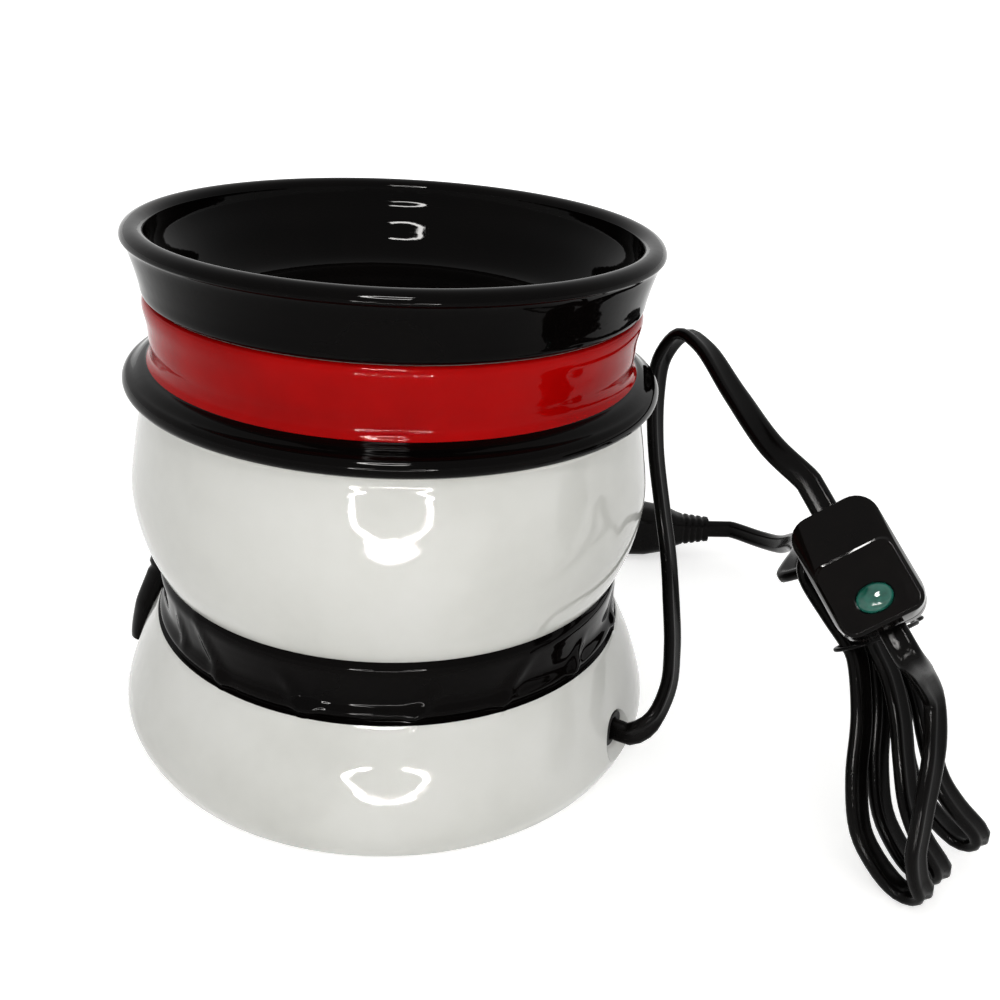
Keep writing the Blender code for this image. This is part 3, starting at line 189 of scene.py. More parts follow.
def rounded(width, length, corner, per_corner=8):
    """A rectangle with round corners, as (x, y) points."""
    corner = min(corner, 0.49 * width, 0.49 * length)
    points = []
    for quarter, (sx, sy) in enumerate(((1, 1), (-1, 1), (-1, -1), (1, -1))):
        angles = [90 * (quarter + i / (per_corner - 1)) for i in range(per_corner)]
        points += arc(sx * (width / 2 - corner), sy * (length / 2 - corner), corner, corner, angles)
    return points


def cut(obj, tool_bm):
    """Cut a tool's shape out of a piece for good."""
    bmesh.ops.recalc_face_normals(tool_bm, faces=tool_bm.faces)
    tool = placed("cutter", mesh_of("cutter", tool_bm))
    change = obj.modifiers.new("cut", "BOOLEAN")
    change.solver = "EXACT"
    change.object = tool
    graph = bpy.context.evaluated_depsgraph_get()
    mesh = bpy.data.meshes.new_from_object(obj.evaluated_get(graph))
    obj.modifiers.clear()
    obj.data = mesh
    bpy.data.objects.remove(tool)


print("ready: lofted, rounded, cut")

# %% [markdown]
# ## Finishes
# No real surface has one flat colour or one even gloss. A function takes the tones that a finish wanders
# between, the grain of that wandering, the range of its roughness and the layers of its relief. Every
# pattern reads Object coordinates, and every piece sits at the origin, so the patterns stay in place when
# a piece moves.

# %% Finish functions
NOISE_LOW, NOISE_HIGH = 0.3, 0.7
FIRST_TONE, TONE_SPAN = 0.32, 0.36
FINER = 3.1


def put(node, **values):
    """Set constant sockets. An underscore stands for a space in a socket's name."""
    for socket, value in values.items():
        node.inputs[socket.replace("_", " ")].default_value = value


def wander(tree, scale, detail=4.0, rough=0.55, stretch=(1, 1, 1)):
    """A noise value in Object coordinates, stretched along the axes if asked."""
    nodes, links = tree.nodes, tree.links
    place = nodes.new("ShaderNodeTexCoord")
    shift = nodes.new("ShaderNodeMapping")
    put(shift, Scale=stretch)
    noise = nodes.new("ShaderNodeTexNoise")
    put(noise, Scale=scale, Detail=detail, Roughness=rough)
    links.new(place.outputs["Object"], shift.inputs["Vector"])
    links.new(shift.outputs["Vector"], noise.inputs["Vector"])
    return noise.outputs["Fac"]


def ramp(tree, value, stops):
    """A colour ramp over a value, from (position, colour) stops."""
    node = tree.nodes.new("ShaderNodeValToRGB")
    band = node.color_ramp
    while len(band.elements) < len(stops):
        band.elements.new(0.5)
    for element, (at, colour) in zip(band.elements, stops):
        element.position = at
        element.color = (*colour, 1.0)
    tree.links.new(value, node.inputs["Fac"])
    return node.outputs["Color"]


def spread(tree, value, low, high):
    """A noise value's middle range mapped to low and high."""
    node = tree.nodes.new("ShaderNodeMapRange")
    put(node, From_Min=NOISE_LOW, From_Max=NOISE_HIGH, To_Min=low, To_Max=high)
    tree.links.new(value, node.inputs["Value"])
    return node.outputs["Result"]


def relief(tree, heights):
    """Chained bumps from (value, distance, strength) layers."""
    last = None
    for value, distance, strength in heights:
        bump = tree.nodes.new("ShaderNodeBump")
        put(bump, Distance=distance, Strength=strength)
        tree.links.new(value, bump.inputs["Height"])
        if last:
            tree.links.new(last, bump.inputs["Normal"])
        last = bump.outputs["Normal"]
    return last


def finish(name, tones, grain, rough, bumps, metallic=0.0, specular=0.5, stretch=(1, 1, 1), **sockets):
    """A finish whose colour wanders between tones and whose gloss and relief wander with it."""
    made = bpy.data.materials.new(name)
    made.use_nodes = True
    tree = made.node_tree
    shader = tree.nodes["Principled BSDF"]
    broad = wander(tree, grain, stretch=stretch)
    share = [FIRST_TONE + TONE_SPAN * i / max(1, len(tones) - 1) for i in range(len(tones))]
    tree.links.new(ramp(tree, broad, list(zip(share, tones))), shader.inputs["Base Color"])
    fine = wander(tree, FINER * grain, stretch=stretch)
    tree.links.new(spread(tree, fine, *rough), shader.inputs["Roughness"])
    layers = [(wander(tree, scale, detail, stretch=stretch), distance, strength)
              for scale, detail, distance, strength in bumps]
    tree.links.new(relief(tree, layers), shader.inputs["Normal"])
    put(shader, Metallic=metallic, Specular_IOR_Level=specular, **sockets)
    return made


print("ready: finish")

# %% [markdown]
# ## Glazes
# Glaze is glass over clay: one clear gloss, a colour that pools and thins, and a ripple where it ran, broad
# from the pour and fine from the kiln. The casting wears a warm white, a deep black and a strong red. The
# two dark ones mirror little, so that they stay deep in a white room.

# %% Three glazes
GLAZE_RIPPLE = [(34.0, 2.0, 0.0011, 0.14), (420.0, 1.0, 0.00006, 0.25)]
white_glaze = finish(
    "white_glaze", [(0.65, 0.655, 0.62), (0.72, 0.725, 0.69), (0.76, 0.765, 0.735)], 21.0,
    (0.04, 0.08), GLAZE_RIPPLE, specular=0.35,
)
black_glaze = finish(
    "black_glaze", [(0.0010, 0.0008, 0.0008), (0.0024, 0.0018, 0.0016)], 26.0,
    (0.03, 0.06), GLAZE_RIPPLE, specular=0.04,
)
red_glaze = finish(
    "red_glaze", [(0.31, 0.0006, 0.0006), (0.39, 0.0010, 0.0009), (0.44, 0.0016, 0.0013)], 24.0,
    (0.04, 0.08), GLAZE_RIPPLE, specular=0.05,
)
print("glazes:", white_glaze.name, black_glaze.name, red_glaze.name)

# %% [markdown]
# The rest of the finishes are the ones inside any lamp: soft black vinyl on the cord and plug, a harder
# moulded plastic on the switch, a green button that lets some light in, rubber, paint, plated metal, brass,
# porcelain and glass. Metals get a fine streak, plastics the fine grain of a mould.

# %% Cord, switch, metal and lamp finishes
vinyl = finish(
    "cord_vinyl", [(0.0016, 0.0014, 0.0014), (0.0034, 0.0030, 0.0028)], 90.0,
    (0.18, 0.26), [(700.0, 1.0, 0.00003, 0.10), (120.0, 1.0, 0.00015, 0.12)], specular=0.06,
)
moulding = finish(
    "switch_moulding", [(0.0018, 0.0014, 0.0013), (0.0040, 0.0030, 0.0026)], 60.0,
    (0.05, 0.09), [(1500.0, 2.0, 0.00003, 0.10)], specular=0.07,
)
green = finish(
    "button_green", [(0.004, 0.075, 0.052), (0.010, 0.140, 0.100), (0.020, 0.200, 0.150)], 170.0,
    (0.08, 0.16), [(300.0, 2.0, 0.00008, 0.30)], Transmission_Weight=0.25,
)
rubber = finish(
    "foot_rubber", [(0.012, 0.012, 0.012), (0.022, 0.021, 0.020)], 120.0,
    (0.62, 0.80), [(1200.0, 3.0, 0.00008, 0.5)], specular=0.3,
)
paint = finish(
    "plate_paint", [(0.016, 0.016, 0.017), (0.028, 0.028, 0.029)], 45.0,
    (0.34, 0.48), [(700.0, 3.0, 0.00006, 0.45)], specular=0.4,
)
zinc = finish(
    "zinc_plate", [(0.50, 0.51, 0.53), (0.63, 0.63, 0.64)], 150.0,
    (0.24, 0.38), [(900.0, 2.0, 0.00003, 0.4)], metallic=1.0, stretch=(1, 1, 4),
)
brass = finish(
    "brass", [(0.60, 0.42, 0.17), (0.72, 0.54, 0.25)], 130.0,
    (0.20, 0.34), [(800.0, 2.0, 0.00003, 0.4)], metallic=1.0, stretch=(1, 1, 4),
)
nickel = finish(
    "blade_nickel", [(0.55, 0.54, 0.51), (0.66, 0.65, 0.61)], 160.0,
    (0.18, 0.30), [(900.0, 2.0, 0.00003, 0.4)], metallic=1.0, stretch=(5, 1, 1),
)
porcelain = finish(
    "holder_porcelain", [(0.62, 0.60, 0.54), (0.72, 0.70, 0.65)], 80.0,
    (0.30, 0.42), [(260.0, 3.0, 0.00012, 0.4)], specular=0.45,
)
insulator = finish(
    "cap_insulator", [(0.010, 0.010, 0.012), (0.020, 0.020, 0.022)], 200.0,
    (0.15, 0.25), [(500.0, 2.0, 0.00005, 0.3)],
)
lamp_glass = finish(
    "lamp_glass", [(0.93, 0.94, 0.94), (0.97, 0.97, 0.97)], 40.0,
    (0.01, 0.03), [(60.0, 2.0, 0.00010, 0.15)], Transmission_Weight=1.0, IOR=1.47,
)
tungsten = finish(
    "filament_wire", [(0.22, 0.21, 0.20), (0.34, 0.33, 0.31)], 300.0,
    (0.35, 0.45), [(900.0, 2.0, 0.00003, 0.3)], metallic=1.0,
)
white_core = finish(
    "lead_white", [(0.60, 0.59, 0.55), (0.70, 0.69, 0.65)], 140.0,
    (0.36, 0.46), [(700.0, 2.0, 0.00004, 0.3)],
)
print("other finishes: 13")

# %% [markdown]
# ## The way the cord runs
# The cord leaves a hole low in the body, climbs beside it, arches over and drops into a push switch.
# Below the switch it is folded into a hank of long loops held by a tie, and the end runs behind to the
# plug. It is a flat twin cord, so besides its line it needs to know which way its broad side lies. The
# route repeats the points that the frame's cord was built from.

# %% Sizes along the cord
FIT = 0.0003
BELLY_R = 0.0806
WALL = 0.0048
HOLE_AZ = math.radians(-27.0)
HOLE_Z = 0.0165
HOLE_OUT = Vector((math.cos(HOLE_AZ), math.sin(HOLE_AZ), 0.0))
UP = Vector((0, 0, 1))
CORD_W = 0.0070
CORD_T = 0.0035
SWITCH_ENTRY = Vector((0.1158, -0.0436, 0.0940))
SWITCH_DOWN = Vector((0.418, -0.707, -0.570)).normalized()
SWITCH_ACROSS = Vector((-0.405, -0.707, 0.581)).cross(SWITCH_DOWN).normalized()
SWITCH_OUT = SWITCH_ACROSS.cross(-SWITCH_DOWN)
SWITCH_L = 0.0335
SWITCH_MIDDLE = SWITCH_ENTRY + SWITCH_DOWN * SWITCH_L / 2
PLUG_TILT = math.radians(1.5)
PLUG_TURN = math.radians(3.0)
PLUG_W = 0.0210
PLUG_BODY_L = 0.0240
PLUG_NECK_L = 0.0130
plug_level = Vector((math.cos(PLUG_TURN), math.sin(PLUG_TURN), 0.0))
PLUG_AXIS = plug_level * math.cos(PLUG_TILT) + UP * math.sin(PLUG_TILT)
LYING_GAP = 0.0004
PLUG_HIGH = PLUG_W / 2 * math.cos(PLUG_TILT) + PLUG_BODY_L / 2 * math.sin(PLUG_TILT)
PLUG_MIDDLE = Vector((0.0930, 0.1110, PLUG_HIGH + LYING_GAP))
print("switch middle", [round(v, 4) for v in SWITCH_MIDDLE])

# %% [markdown]
# The hank is what hands make of spare cord: three long loops side by side, pinched by the tie at the waist,
# fanned out below it and curled to one side on the table. Each point of it is found from three numbers:
# its distance from the hank's middle, its height over the waist, and the loops wound so far. One rule for
# sway and fan then moves all the strands together and keeps them apart.

# %% Hank of loops
HANK_LOOPS = 3
HANK_ACROSS = Vector((0.80, 0.60, 0.0))
HANK_DOWN = Vector((0.36, -0.48, -0.80))
HANK_OUT = HANK_DOWN.cross(HANK_ACROSS)
HANK_LOW_R = 0.0046
HANK_TOP_R = 0.0075
HANK_WAIST = 0.0023
HANK_BULGE = 0.0010
HANK_LEAN = 0.0050
HANK_LOW_LENGTH = 0.0575
HANK_TOP_LENGTH = 0.0240
HANK_LEAVE_UP = 0.0160
HANK_LEAVE_R = 0.0090
HANK_STEP = 0.0078
HANK_LOW_STEP = 0.0134
HANK_LOW_RISE = 0.0020
HANK_SHEAR = 0.0150
HANK_HOOK = 0.0110
HANK_STRAIGHTER = 0.08
HANK_NEARER = 0.30
HANK_TOP_SHEAR = 0.0030
HANK_CLIMB_END = 0.58
SWAY_END = 0.70
HOOK_START, HOOK_SPAN = 0.68, 0.50
LEAD_PLACES = ((0.26, 0.0125), (0.46, 0.0115), (0.66, 0.0085), (0.86, 0.0035))
LEAD_DRIFT = 0.9
DOWN_SHARES = (0.15, 0.28, 0.40, 0.53, 0.66, 0.79, 0.90)
UP_SHARES = (0.88, 0.73, 0.52, 0.26, 0.0)
TIE_UP = 0.0036
HANK_FOOT = Vector((0.1600, -0.0680, HANK_LOW_R + CORD_T / 2 + LYING_GAP))
HANK_MIDDLE = HANK_FOOT - HANK_DOWN * HANK_LOW_LENGTH


def ease(t):
    """A share from 0 to 1 that starts and ends gently."""
    t = min(max(t, 0.0), 1.0)
    return t * t * (3 - 2 * t)


def hank_point(away, up, count):
    """Distance from the hank's middle, height over its waist, and loops wound so far."""
    depth = -up / HANK_LOW_LENGTH
    spread_out = ease(depth) ** 4
    step = HANK_STEP + (HANK_LOW_STEP - HANK_STEP) * spread_out
    sway = HANK_SHEAR * ease(depth / SWAY_END) - HANK_HOOK * ease((depth - HOOK_START) / HOOK_SPAN)
    count -= HANK_NEARER * spread_out * count * (HANK_LOOPS - 1 - count)
    across = (count - (HANK_LOOPS - 1) / 2) * step
    across -= (1 - HANK_STRAIGHTER * count**2) * sway
    across += HANK_TOP_SHEAR * ease(up / HANK_TOP_LENGTH)
    return HANK_MIDDLE + HANK_OUT * away - HANK_DOWN * up + HANK_ACROSS * across


def hank_side(sign, up):
    """Distance of one side of a loop from the middle."""
    if up < 0:
        share = -up / HANK_LOW_LENGTH
        bulge = HANK_BULGE * math.sin(math.pi * min(share, 1.0)) ** 2
        return sign * (HANK_WAIST + (HANK_LOW_R - HANK_WAIST) * ease(share) + bulge)
    share = up / HANK_TOP_LENGTH
    return sign * (HANK_WAIST + (HANK_TOP_R - HANK_WAIST) * ease(share)) - HANK_LEAN * ease(share)


print("hank middle", [round(v, 4) for v in HANK_MIDDLE])

# %% [markdown]
# The strand comes from the switch in front of the loops. Each loop goes down in front, folds under, comes
# up behind and folds over to the next. After the last one the end leaves to the back.

# %% Way through the hank
def half_turn(radius, up, lean, sign, count, steps=6):
    """Points of a fold at the end of a loop."""
    points = []
    for i in range(steps + 1):
        angle = math.pi * i / steps
        away = sign * radius * math.cos(angle) - lean
        points.append(hank_point(away, up - sign * radius * math.sin(angle), count))
    return points


def hank_route():
    """Points from the switch through the loops to the end that leaves for the plug."""
    start = SWITCH_MIDDLE + SWITCH_DOWN * (SWITCH_L / 2 + FIT)
    lead = [start + SWITCH_DOWN * CORD_W]
    rise = HANK_LOW_LENGTH + HANK_TOP_LENGTH
    for share, spare in LEAD_PLACES:
        up = -HANK_LOW_LENGTH * share
        lead.append(hank_point(hank_side(1, up) + spare, up, LEAD_DRIFT * spare / HANK_LOW_STEP))
    points = [start, *flow(lead, 2)]
    for k in range(HANK_LOOPS):
        if k > 0:
            for share in DOWN_SHARES:
                up = HANK_TOP_LENGTH - (rise - k * HANK_LOW_RISE) * share
                points.append(hank_point(hank_side(1, up), up, k - 1 + ease(share / HANK_CLIMB_END)))
        low = HANK_LOW_LENGTH - k * HANK_LOW_RISE
        points += half_turn(HANK_LOW_R, -low, 0.0, 1, k)
        for share in UP_SHARES:
            points.append(hank_point(hank_side(-1, -share * low), -share * low, k))
        points.append(hank_point(hank_side(-1, TIE_UP), TIE_UP, k))
        if k < HANK_LOOPS - 1:
            up = 0.5 * HANK_TOP_LENGTH
            points.append(hank_point(hank_side(-1, up), up, k))
            points += half_turn(HANK_TOP_R, HANK_TOP_LENGTH, HANK_LEAN, -1, k)
    for i in range(4):
        angle = math.pi / 2 * i / 3
        away = hank_side(-1, HANK_LEAVE_UP) - HANK_LEAVE_R * (1 - math.cos(angle))
        points.append(hank_point(away, HANK_LEAVE_UP + HANK_LEAVE_R * math.sin(angle), HANK_LOOPS - 1))
    points.append(points[-1] - HANK_OUT * CORD_W)
    return [(point, SWITCH_ACROSS if i < 2 else HANK_ACROSS) for i, point in enumerate(points)]


hank_points = hank_route()
print("hank:", HANK_LOOPS, "loops through", len(hank_points), "points")

# %% [markdown]
# The other two stretches are free bends. A stiff cord makes a few wide curves between the places that hold
# it, so each is given by points that it passes, with the way its broad side lies there.

# %% Up to the switch and on to the plug
def body_route():
    """Points from inside the cord hole, up beside the body and over to the switch."""
    inner = HOLE_OUT * (BELLY_R - 4.0 * WALL) + UP * HOLE_Z
    mouth = HOLE_OUT * BELLY_R + UP * HOLE_Z
    end = SWITCH_ENTRY - SWITCH_DOWN * FIT
    return [
        (inner, UP),
        (mouth, UP),
        (mouth + HOLE_OUT * 0.3 * CORD_W, UP),
        ((0.0790, -0.0400, 0.0225), (-0.30, -0.20, 0.90)),
        ((0.0842, -0.0315, 0.0285), (-0.50, -0.50, 0.70)),
        ((0.0864, -0.0180, 0.0343), (-0.57, -0.65, 0.50)),
        ((0.0869, -0.0020, 0.0419), (-0.60, -0.74, 0.30)),
        ((0.0860, 0.0095, 0.0520), (-0.60, -0.74, 0.30)),
        ((0.0836, 0.0185, 0.0640), (-0.60, -0.74, 0.30)),
        ((0.0803, 0.0255, 0.0810), (-0.60, -0.74, 0.30)),
        ((0.0786, 0.0280, 0.0979), (-0.65, -0.70, 0.20)),
        ((0.0788, 0.0263, 0.1105), (-0.75, -0.60, 0.20)),
        ((0.0832, 0.0208, 0.1200), (-0.81, -0.46, 0.20)),
        ((0.0882, 0.0120, 0.1194), (-0.81, -0.46, 0.10)),
        ((0.0955, -0.0070, 0.1120), (-0.90, -0.30, -0.20)),
        ((0.1035, -0.0270, 0.1045), -SWITCH_ACROSS),
        (end - SWITCH_DOWN * 1.3 * CORD_W, -SWITCH_ACROSS),
        (end - SWITCH_DOWN * CORD_W, -SWITCH_ACROSS),
        (end, -SWITCH_ACROSS),
    ]


def plug_route(start):
    """Points from the end of the hank, behind the body, to the plug's neck."""
    neck = PLUG_MIDDLE + PLUG_AXIS * (PLUG_BODY_L / 2 + PLUG_NECK_L + FIT)
    return [
        (start - HANK_OUT * 0.3 * CORD_W, HANK_ACROSS),
        (start - HANK_OUT * CORD_W, HANK_ACROSS),
        (start - HANK_OUT * 1.3 * CORD_W, HANK_ACROSS),
        ((0.1295, 0.0180, 0.0515), (0.75, 0.20, 0.50)),
        ((0.1365, 0.0450, 0.0405), (0.50, 0.20, 0.80)),
        ((0.1410, 0.0680, 0.0302), (0.20, 0.20, 0.95)),
        ((0.1413, 0.0860, 0.0200), UP),
        ((0.1370, 0.0995, 0.0150), UP),
        (neck + PLUG_AXIS * 1.3 * CORD_W, UP),
        (neck + PLUG_AXIS * CORD_W, UP),
        (neck, UP),
    ]


def resample(route, spacing):
    """Points and broad sides about a spacing apart along a route."""
    given = [Vector(point) for point, _ in route]
    broad = [Vector(wide).normalized() for _, wide in route]
    counts = [max(1, round((q - p).length / spacing)) for p, q in zip(given, given[1:])]
    wides = []
    for w, v, count in zip(broad, broad[1:], counts):
        wides += [w.lerp(v, i / count).normalized() for i in range(count)]
    return flow(given, counts), [*wides, broad[-1]]


def length_of(points):
    """Length of a line through points."""
    return sum((q - p).length for p, q in zip(points, points[1:]))


print("way up:", len(body_route()), "points")

# %% [markdown]
# The cord itself is two round cores side by side under one skin. A bevelled curve would twist freely,
# so the cross-section is set out at each point with its broad side where the route says, and neighbouring
# rings are bridged. The groove between the two cores is what makes a twin cord read as one.

# %% Twin cord
CORD_FINE = 0.0024
GROOVE = 0.62
LOBE_ANGLES = (-100, -75, -50, -25, 0, 25, 50, 75, 100)


def twin_section():
    """Cross-section of the cord: two lobes and the web between them."""
    lobe = CORD_T / 2
    middle = CORD_W / 2 - lobe
    points = []
    for side in (1, -1):
        points += [(side * x, side * y) for x, y in arc(middle, 0.0, lobe, lobe, LOBE_ANGLES)]
        points.append((0.0, side * GROOVE * lobe))
    return points


def twin_cord(name, route, nodes):
    """A twin cord along a route, and the points that its centre follows."""
    points, wides = resample(route, CORD_FINE)
    rings = []
    for i, point in enumerate(points):
        along = (points[min(i + 1, len(points) - 1)] - points[max(i - 1, 0)]).normalized()
        wide = (wides[i] - along * wides[i].dot(along)).normalized()
        if rings and wide.dot(before) < 0:
            wide = -wide
        before = wide
        thick = along.cross(wide)
        rings.append([point + wide * x + thick * y for x, y in twin_section()])
    made = piece(name, lofted(rings), [vinyl], node=nodes, crease=70)
    print(name, "%.3f m in %d points" % (length_of(points), len(points)))
    return made, points


body_cord, body_line = twin_cord("cord_up_to_switch", body_route(), ["cord_to_switch"])
rest_of_cord = plug_route(hank_points[-1][0])
hank_cord, hank_line = twin_cord(
    "cord_hank_and_end", hank_points + rest_of_cord, ["cord_hank", "cord_to_plug"],
)

# %% [markdown]
# ## Tie round the hank
# A short piece of plastic-sleeved wire is wound round the waist of the hank and its ends are twisted into
# a small ear. A curve with a round bevel is the quickest way to a bent wire, and it is turned into a mesh
# so that its place is in its points.

# %% Tie wire
TIE_R = 0.0006
TIE_PLAY = 0.0010
TIE_EAR_R = 0.0022
EAR_STEPS = 8
EAR_TURN = 0.80 * math.pi
EAR_LONG = 1.4
WIRE_STEPS = 4
sides = [hank_side(sign, TIE_UP) for sign in (1, -1)]
reach = (sides[0] - sides[1]) / 2 + CORD_T / 2 + TIE_PLAY + TIE_R
tie_middle = hank_point(sum(sides) / 2, TIE_UP, (HANK_LOOPS - 1) / 2)
back = (HANK_LOOPS - 1) / 2 * HANK_STEP + CORD_W / 2 + TIE_PLAY + TIE_R
tie_path = []
for i in range(EAR_STEPS + 1):
    angle = EAR_TURN * (1 - 2 * i / EAR_STEPS)
    tie_path.append((TIE_EAR_R * math.sin(angle), back + EAR_LONG * TIE_EAR_R * (1 + math.cos(angle))))
tie_path += [(-0.6 * reach, back), (-reach, back - 0.5 * reach)]
tie_path += [(-reach, -back + 0.5 * reach), (-0.6 * reach, -back), (0.6 * reach, -back)]
tie_path += [(reach, -back + 0.5 * reach), (reach, back - 0.5 * reach), (0.6 * reach, back)]
tie_line = flow([tie_middle + HANK_OUT * n + HANK_ACROSS * a for n, a in tie_path], WIRE_STEPS)

wire = bpy.data.curves.new("tie_guide", "CURVE")
wire.dimensions = "3D"
wire.bevel_depth = TIE_R
wire.bevel_resolution = 3
wire.use_fill_caps = True
spline = wire.splines.new("POLY")
spline.points.add(len(tie_line) - 1)
for knot, point in zip(spline.points, tie_line):
    knot.co = (*point, 1.0)
guide = placed("tie_guide", wire)
graph = bpy.context.evaluated_depsgraph_get()
bm = bmesh.new()
bm.from_mesh(bpy.data.meshes.new_from_object(guide.evaluated_get(graph)))
bpy.data.objects.remove(guide)
tie = piece("cord_tie_wire", closed_up(bm), [vinyl], node=["cord_tie"])
print("tie:", len(tie.data.polygons), "faces")

# %% [markdown]
# ## Push switch
# The switch is two moulded halves with a long slope on the cord's side, a level face with the button near
# the other end, and soft edges. It is built lying flat, as it would be drawn, and then its points are put
# where the frame's switch is. The softened edges matter most, since the bright line across it is the edge
# between slope and face. Normals weighted by area keep the broad faces flat to the eye.

# %% Switch halves
SWITCH_W = 0.0230
SWITCH_T = 0.0156
SWITCH_SLOPE_TOP = 0.0142
SWITCH_SLOPE_LOW = 0.0010
SWITCH_END_T = 0.0084
SWITCH_CORNER = 0.0060
SWITCH_DRAFT = 0.0016
COVER_EDGE, BASE_EDGE = 0.0002, 0.0004
ON_SWITCH = (
    Matrix.Translation(SWITCH_MIDDLE)
    @ Matrix((SWITCH_ACROSS, -SWITCH_DOWN, SWITCH_OUT)).transposed().to_4x4()
)


def soften(bm, width, segments=3, sharp=24.0):
    """Bevel the edges that turn by more than an angle."""
    bmesh.ops.recalc_face_normals(bm, faces=bm.faces)
    edges = [e for e in bm.edges if len(e.link_faces) == 2 and e.calc_face_angle() > math.radians(sharp)]
    bmesh.ops.bevel(
        bm, geom=edges, offset=width, offset_type="OFFSET", segments=segments,
        profile=0.5, affect="EDGES", material=-1, clamp_overlap=True,
    )
    return bm


def moulded(name, levels, node, edge):
    """A half of the switch through rounded rectangles, softened and put in place."""
    rings = []
    for width, length, middle, corner, z in levels:
        rings.append([(x, y + middle, z) for x, y in rounded(width, length, corner)])
    bm = soften(lofted(rings), edge)
    bmesh.ops.transform(bm, matrix=ON_SWITCH, verts=bm.verts)
    return piece(name, bm, [moulding], node=[node], crease=50)


half_t = SWITCH_T / 2
end_t = SWITCH_END_T / 2
face_l = SWITCH_L - SWITCH_SLOPE_TOP - SWITCH_SLOPE_LOW
face_y = (SWITCH_SLOPE_LOW - SWITCH_SLOPE_TOP) / 2
full = (SWITCH_W, SWITCH_L, 0.0, SWITCH_CORNER)
narrow = SWITCH_W - SWITCH_DRAFT
rim = (narrow, face_l + SWITCH_DRAFT, face_y, 0.6 * SWITCH_CORNER, half_t - SWITCH_DRAFT / 2)
face = (narrow - SWITCH_DRAFT, face_l, face_y, 0.5 * SWITCH_CORNER, half_t)
under = (SWITCH_W - 2 * SWITCH_DRAFT, SWITCH_L - 4 * SWITCH_DRAFT, 0.0, 0.8 * SWITCH_CORNER, -half_t)
over_seam = [(*full, FIT / 2), (*full, end_t), rim, face]
below_seam = [under, (*full, -end_t), (*full, -FIT / 2)]
cover = moulded("switch_cover_shell", over_seam, "switch_cover", COVER_EDGE)
base = moulded("switch_base_shell", below_seam, "switch_base", BASE_EDGE)
print("switch halves:", len(cover.data.polygons) + len(base.data.polygons), "faces")

# %% [markdown]
# The button is a low green dome, oval and clear enough to glow. It stands in a pocket that is a little
# larger all round, so pocket and button are the same turned form, pressed to an oval.

# %% Pocket and button
BUTTON_L = 0.0070
BUTTON_W = 0.0092
BUTTON_PROUD = 0.0026
BUTTON_BELOW = 0.0098
BUTTON_TURNS = 48
BUTTON_EDGE = 0.0004
SWITCH_WALL = 0.0020
POCKET_FLOOR = 0.0034
POCKET_OVER = 0.01


def on_button(profile):
    """A form turned from a profile, pressed to the button's oval and put in its place."""
    bm = bmesh.new()
    spun(bm, profile, BUTTON_TURNS)
    closed_up(bm)
    bmesh.ops.scale(bm, vec=(1, BUTTON_L / BUTTON_W, 1), verts=bm.verts)
    bmesh.ops.translate(bm, vec=(0, -BUTTON_BELOW, 0), verts=bm.verts)
    bmesh.ops.transform(bm, matrix=ON_SWITCH, verts=bm.verts)
    return bm


button_r = BUTTON_W / 2
pocket_r = button_r + FIT
pocket_top = half_t + POCKET_OVER
cut(cover, on_button([
    (0.0, pocket_top), (pocket_r, pocket_top), (pocket_r, POCKET_FLOOR), (0.0, POCKET_FLOOR),
]))
for half in (cover, base):
    half.modifiers.new("flat_faces", "WEIGHTED_NORMAL").keep_sharp = True
crest = [(0.0, half_t + BUTTON_PROUD)]
crest += arc(0.0, half_t, button_r, BUTTON_PROUD, (78, 66, 54, 42, 30, 18, 8))
button_low = half_t - SWITCH_WALL - FIT
button = piece(
    "switch_button_cap",
    on_button([*crest, (button_r, half_t - BUTTON_EDGE), (button_r, button_low), (0.0, button_low)]),
    [green], body="button", node=["switch_button"],
)
print("button:", len(button.data.polygons), "faces")

# %% [markdown]
# ## Plug
# The plug is moulded on to the cord: a block for the pins, shoulders that fall to a narrow neck, and a
# few ribs on the neck that let it bend. Rounded sections are bridged along its axis, and the ribs are
# sections that alternate in width.

# %% Plug body
PLUG_T = 0.0160
PLUG_EDGE, PLUG_EDGE_L = 0.0020, 0.0012
PLUG_FALL_L = 0.0050
NECK_W, NECK_T = 0.0123, 0.0105
NECK_END_W, NECK_END_T = 0.0095, 0.0079
NECK_FROM = 0.0018
NECK_TAPER = 0.0026
RIBS = 4
RIB_DEPTH = 0.0009
RIB_FROM, RIB_TO, RIB_SLOPE = 0.15, 0.50, 0.05
plug_wide = (UP - PLUG_AXIS * PLUG_AXIS.z).normalized()
ON_PLUG = (
    Matrix.Translation(PLUG_MIDDLE)
    @ Matrix((plug_wide, PLUG_AXIS.cross(plug_wide), PLUG_AXIS)).transposed().to_4x4()
)
plug_back = -PLUG_BODY_L / 2
plug_front = PLUG_BODY_L / 2
levels = [
    (PLUG_W - PLUG_EDGE, PLUG_T - PLUG_EDGE, plug_back),
    (PLUG_W, PLUG_T, plug_back + PLUG_EDGE_L),
    (PLUG_W, PLUG_T, plug_back + 0.45 * PLUG_BODY_L),
    (0.86 * PLUG_W, 0.92 * PLUG_T, plug_front - PLUG_FALL_L),
    (0.64 * PLUG_W, 0.74 * PLUG_T, plug_front),
    (NECK_W, NECK_T, plug_front + NECK_FROM),
]
for k in range(RIBS):
    start, end = (k + RIB_FROM) / RIBS, (k + RIB_TO) / RIBS
    for t, sunk in ((start, 0.0), (start + RIB_SLOPE, RIB_DEPTH), (end, RIB_DEPTH), (end + RIB_SLOPE, 0.0)):
        less = NECK_TAPER * t + sunk
        at = plug_front + NECK_FROM + t * (PLUG_NECK_L - NECK_TAPER)
        levels.append((NECK_W - less, NECK_T - less, at))
levels.append((NECK_END_W, NECK_END_T, plug_front + PLUG_NECK_L))
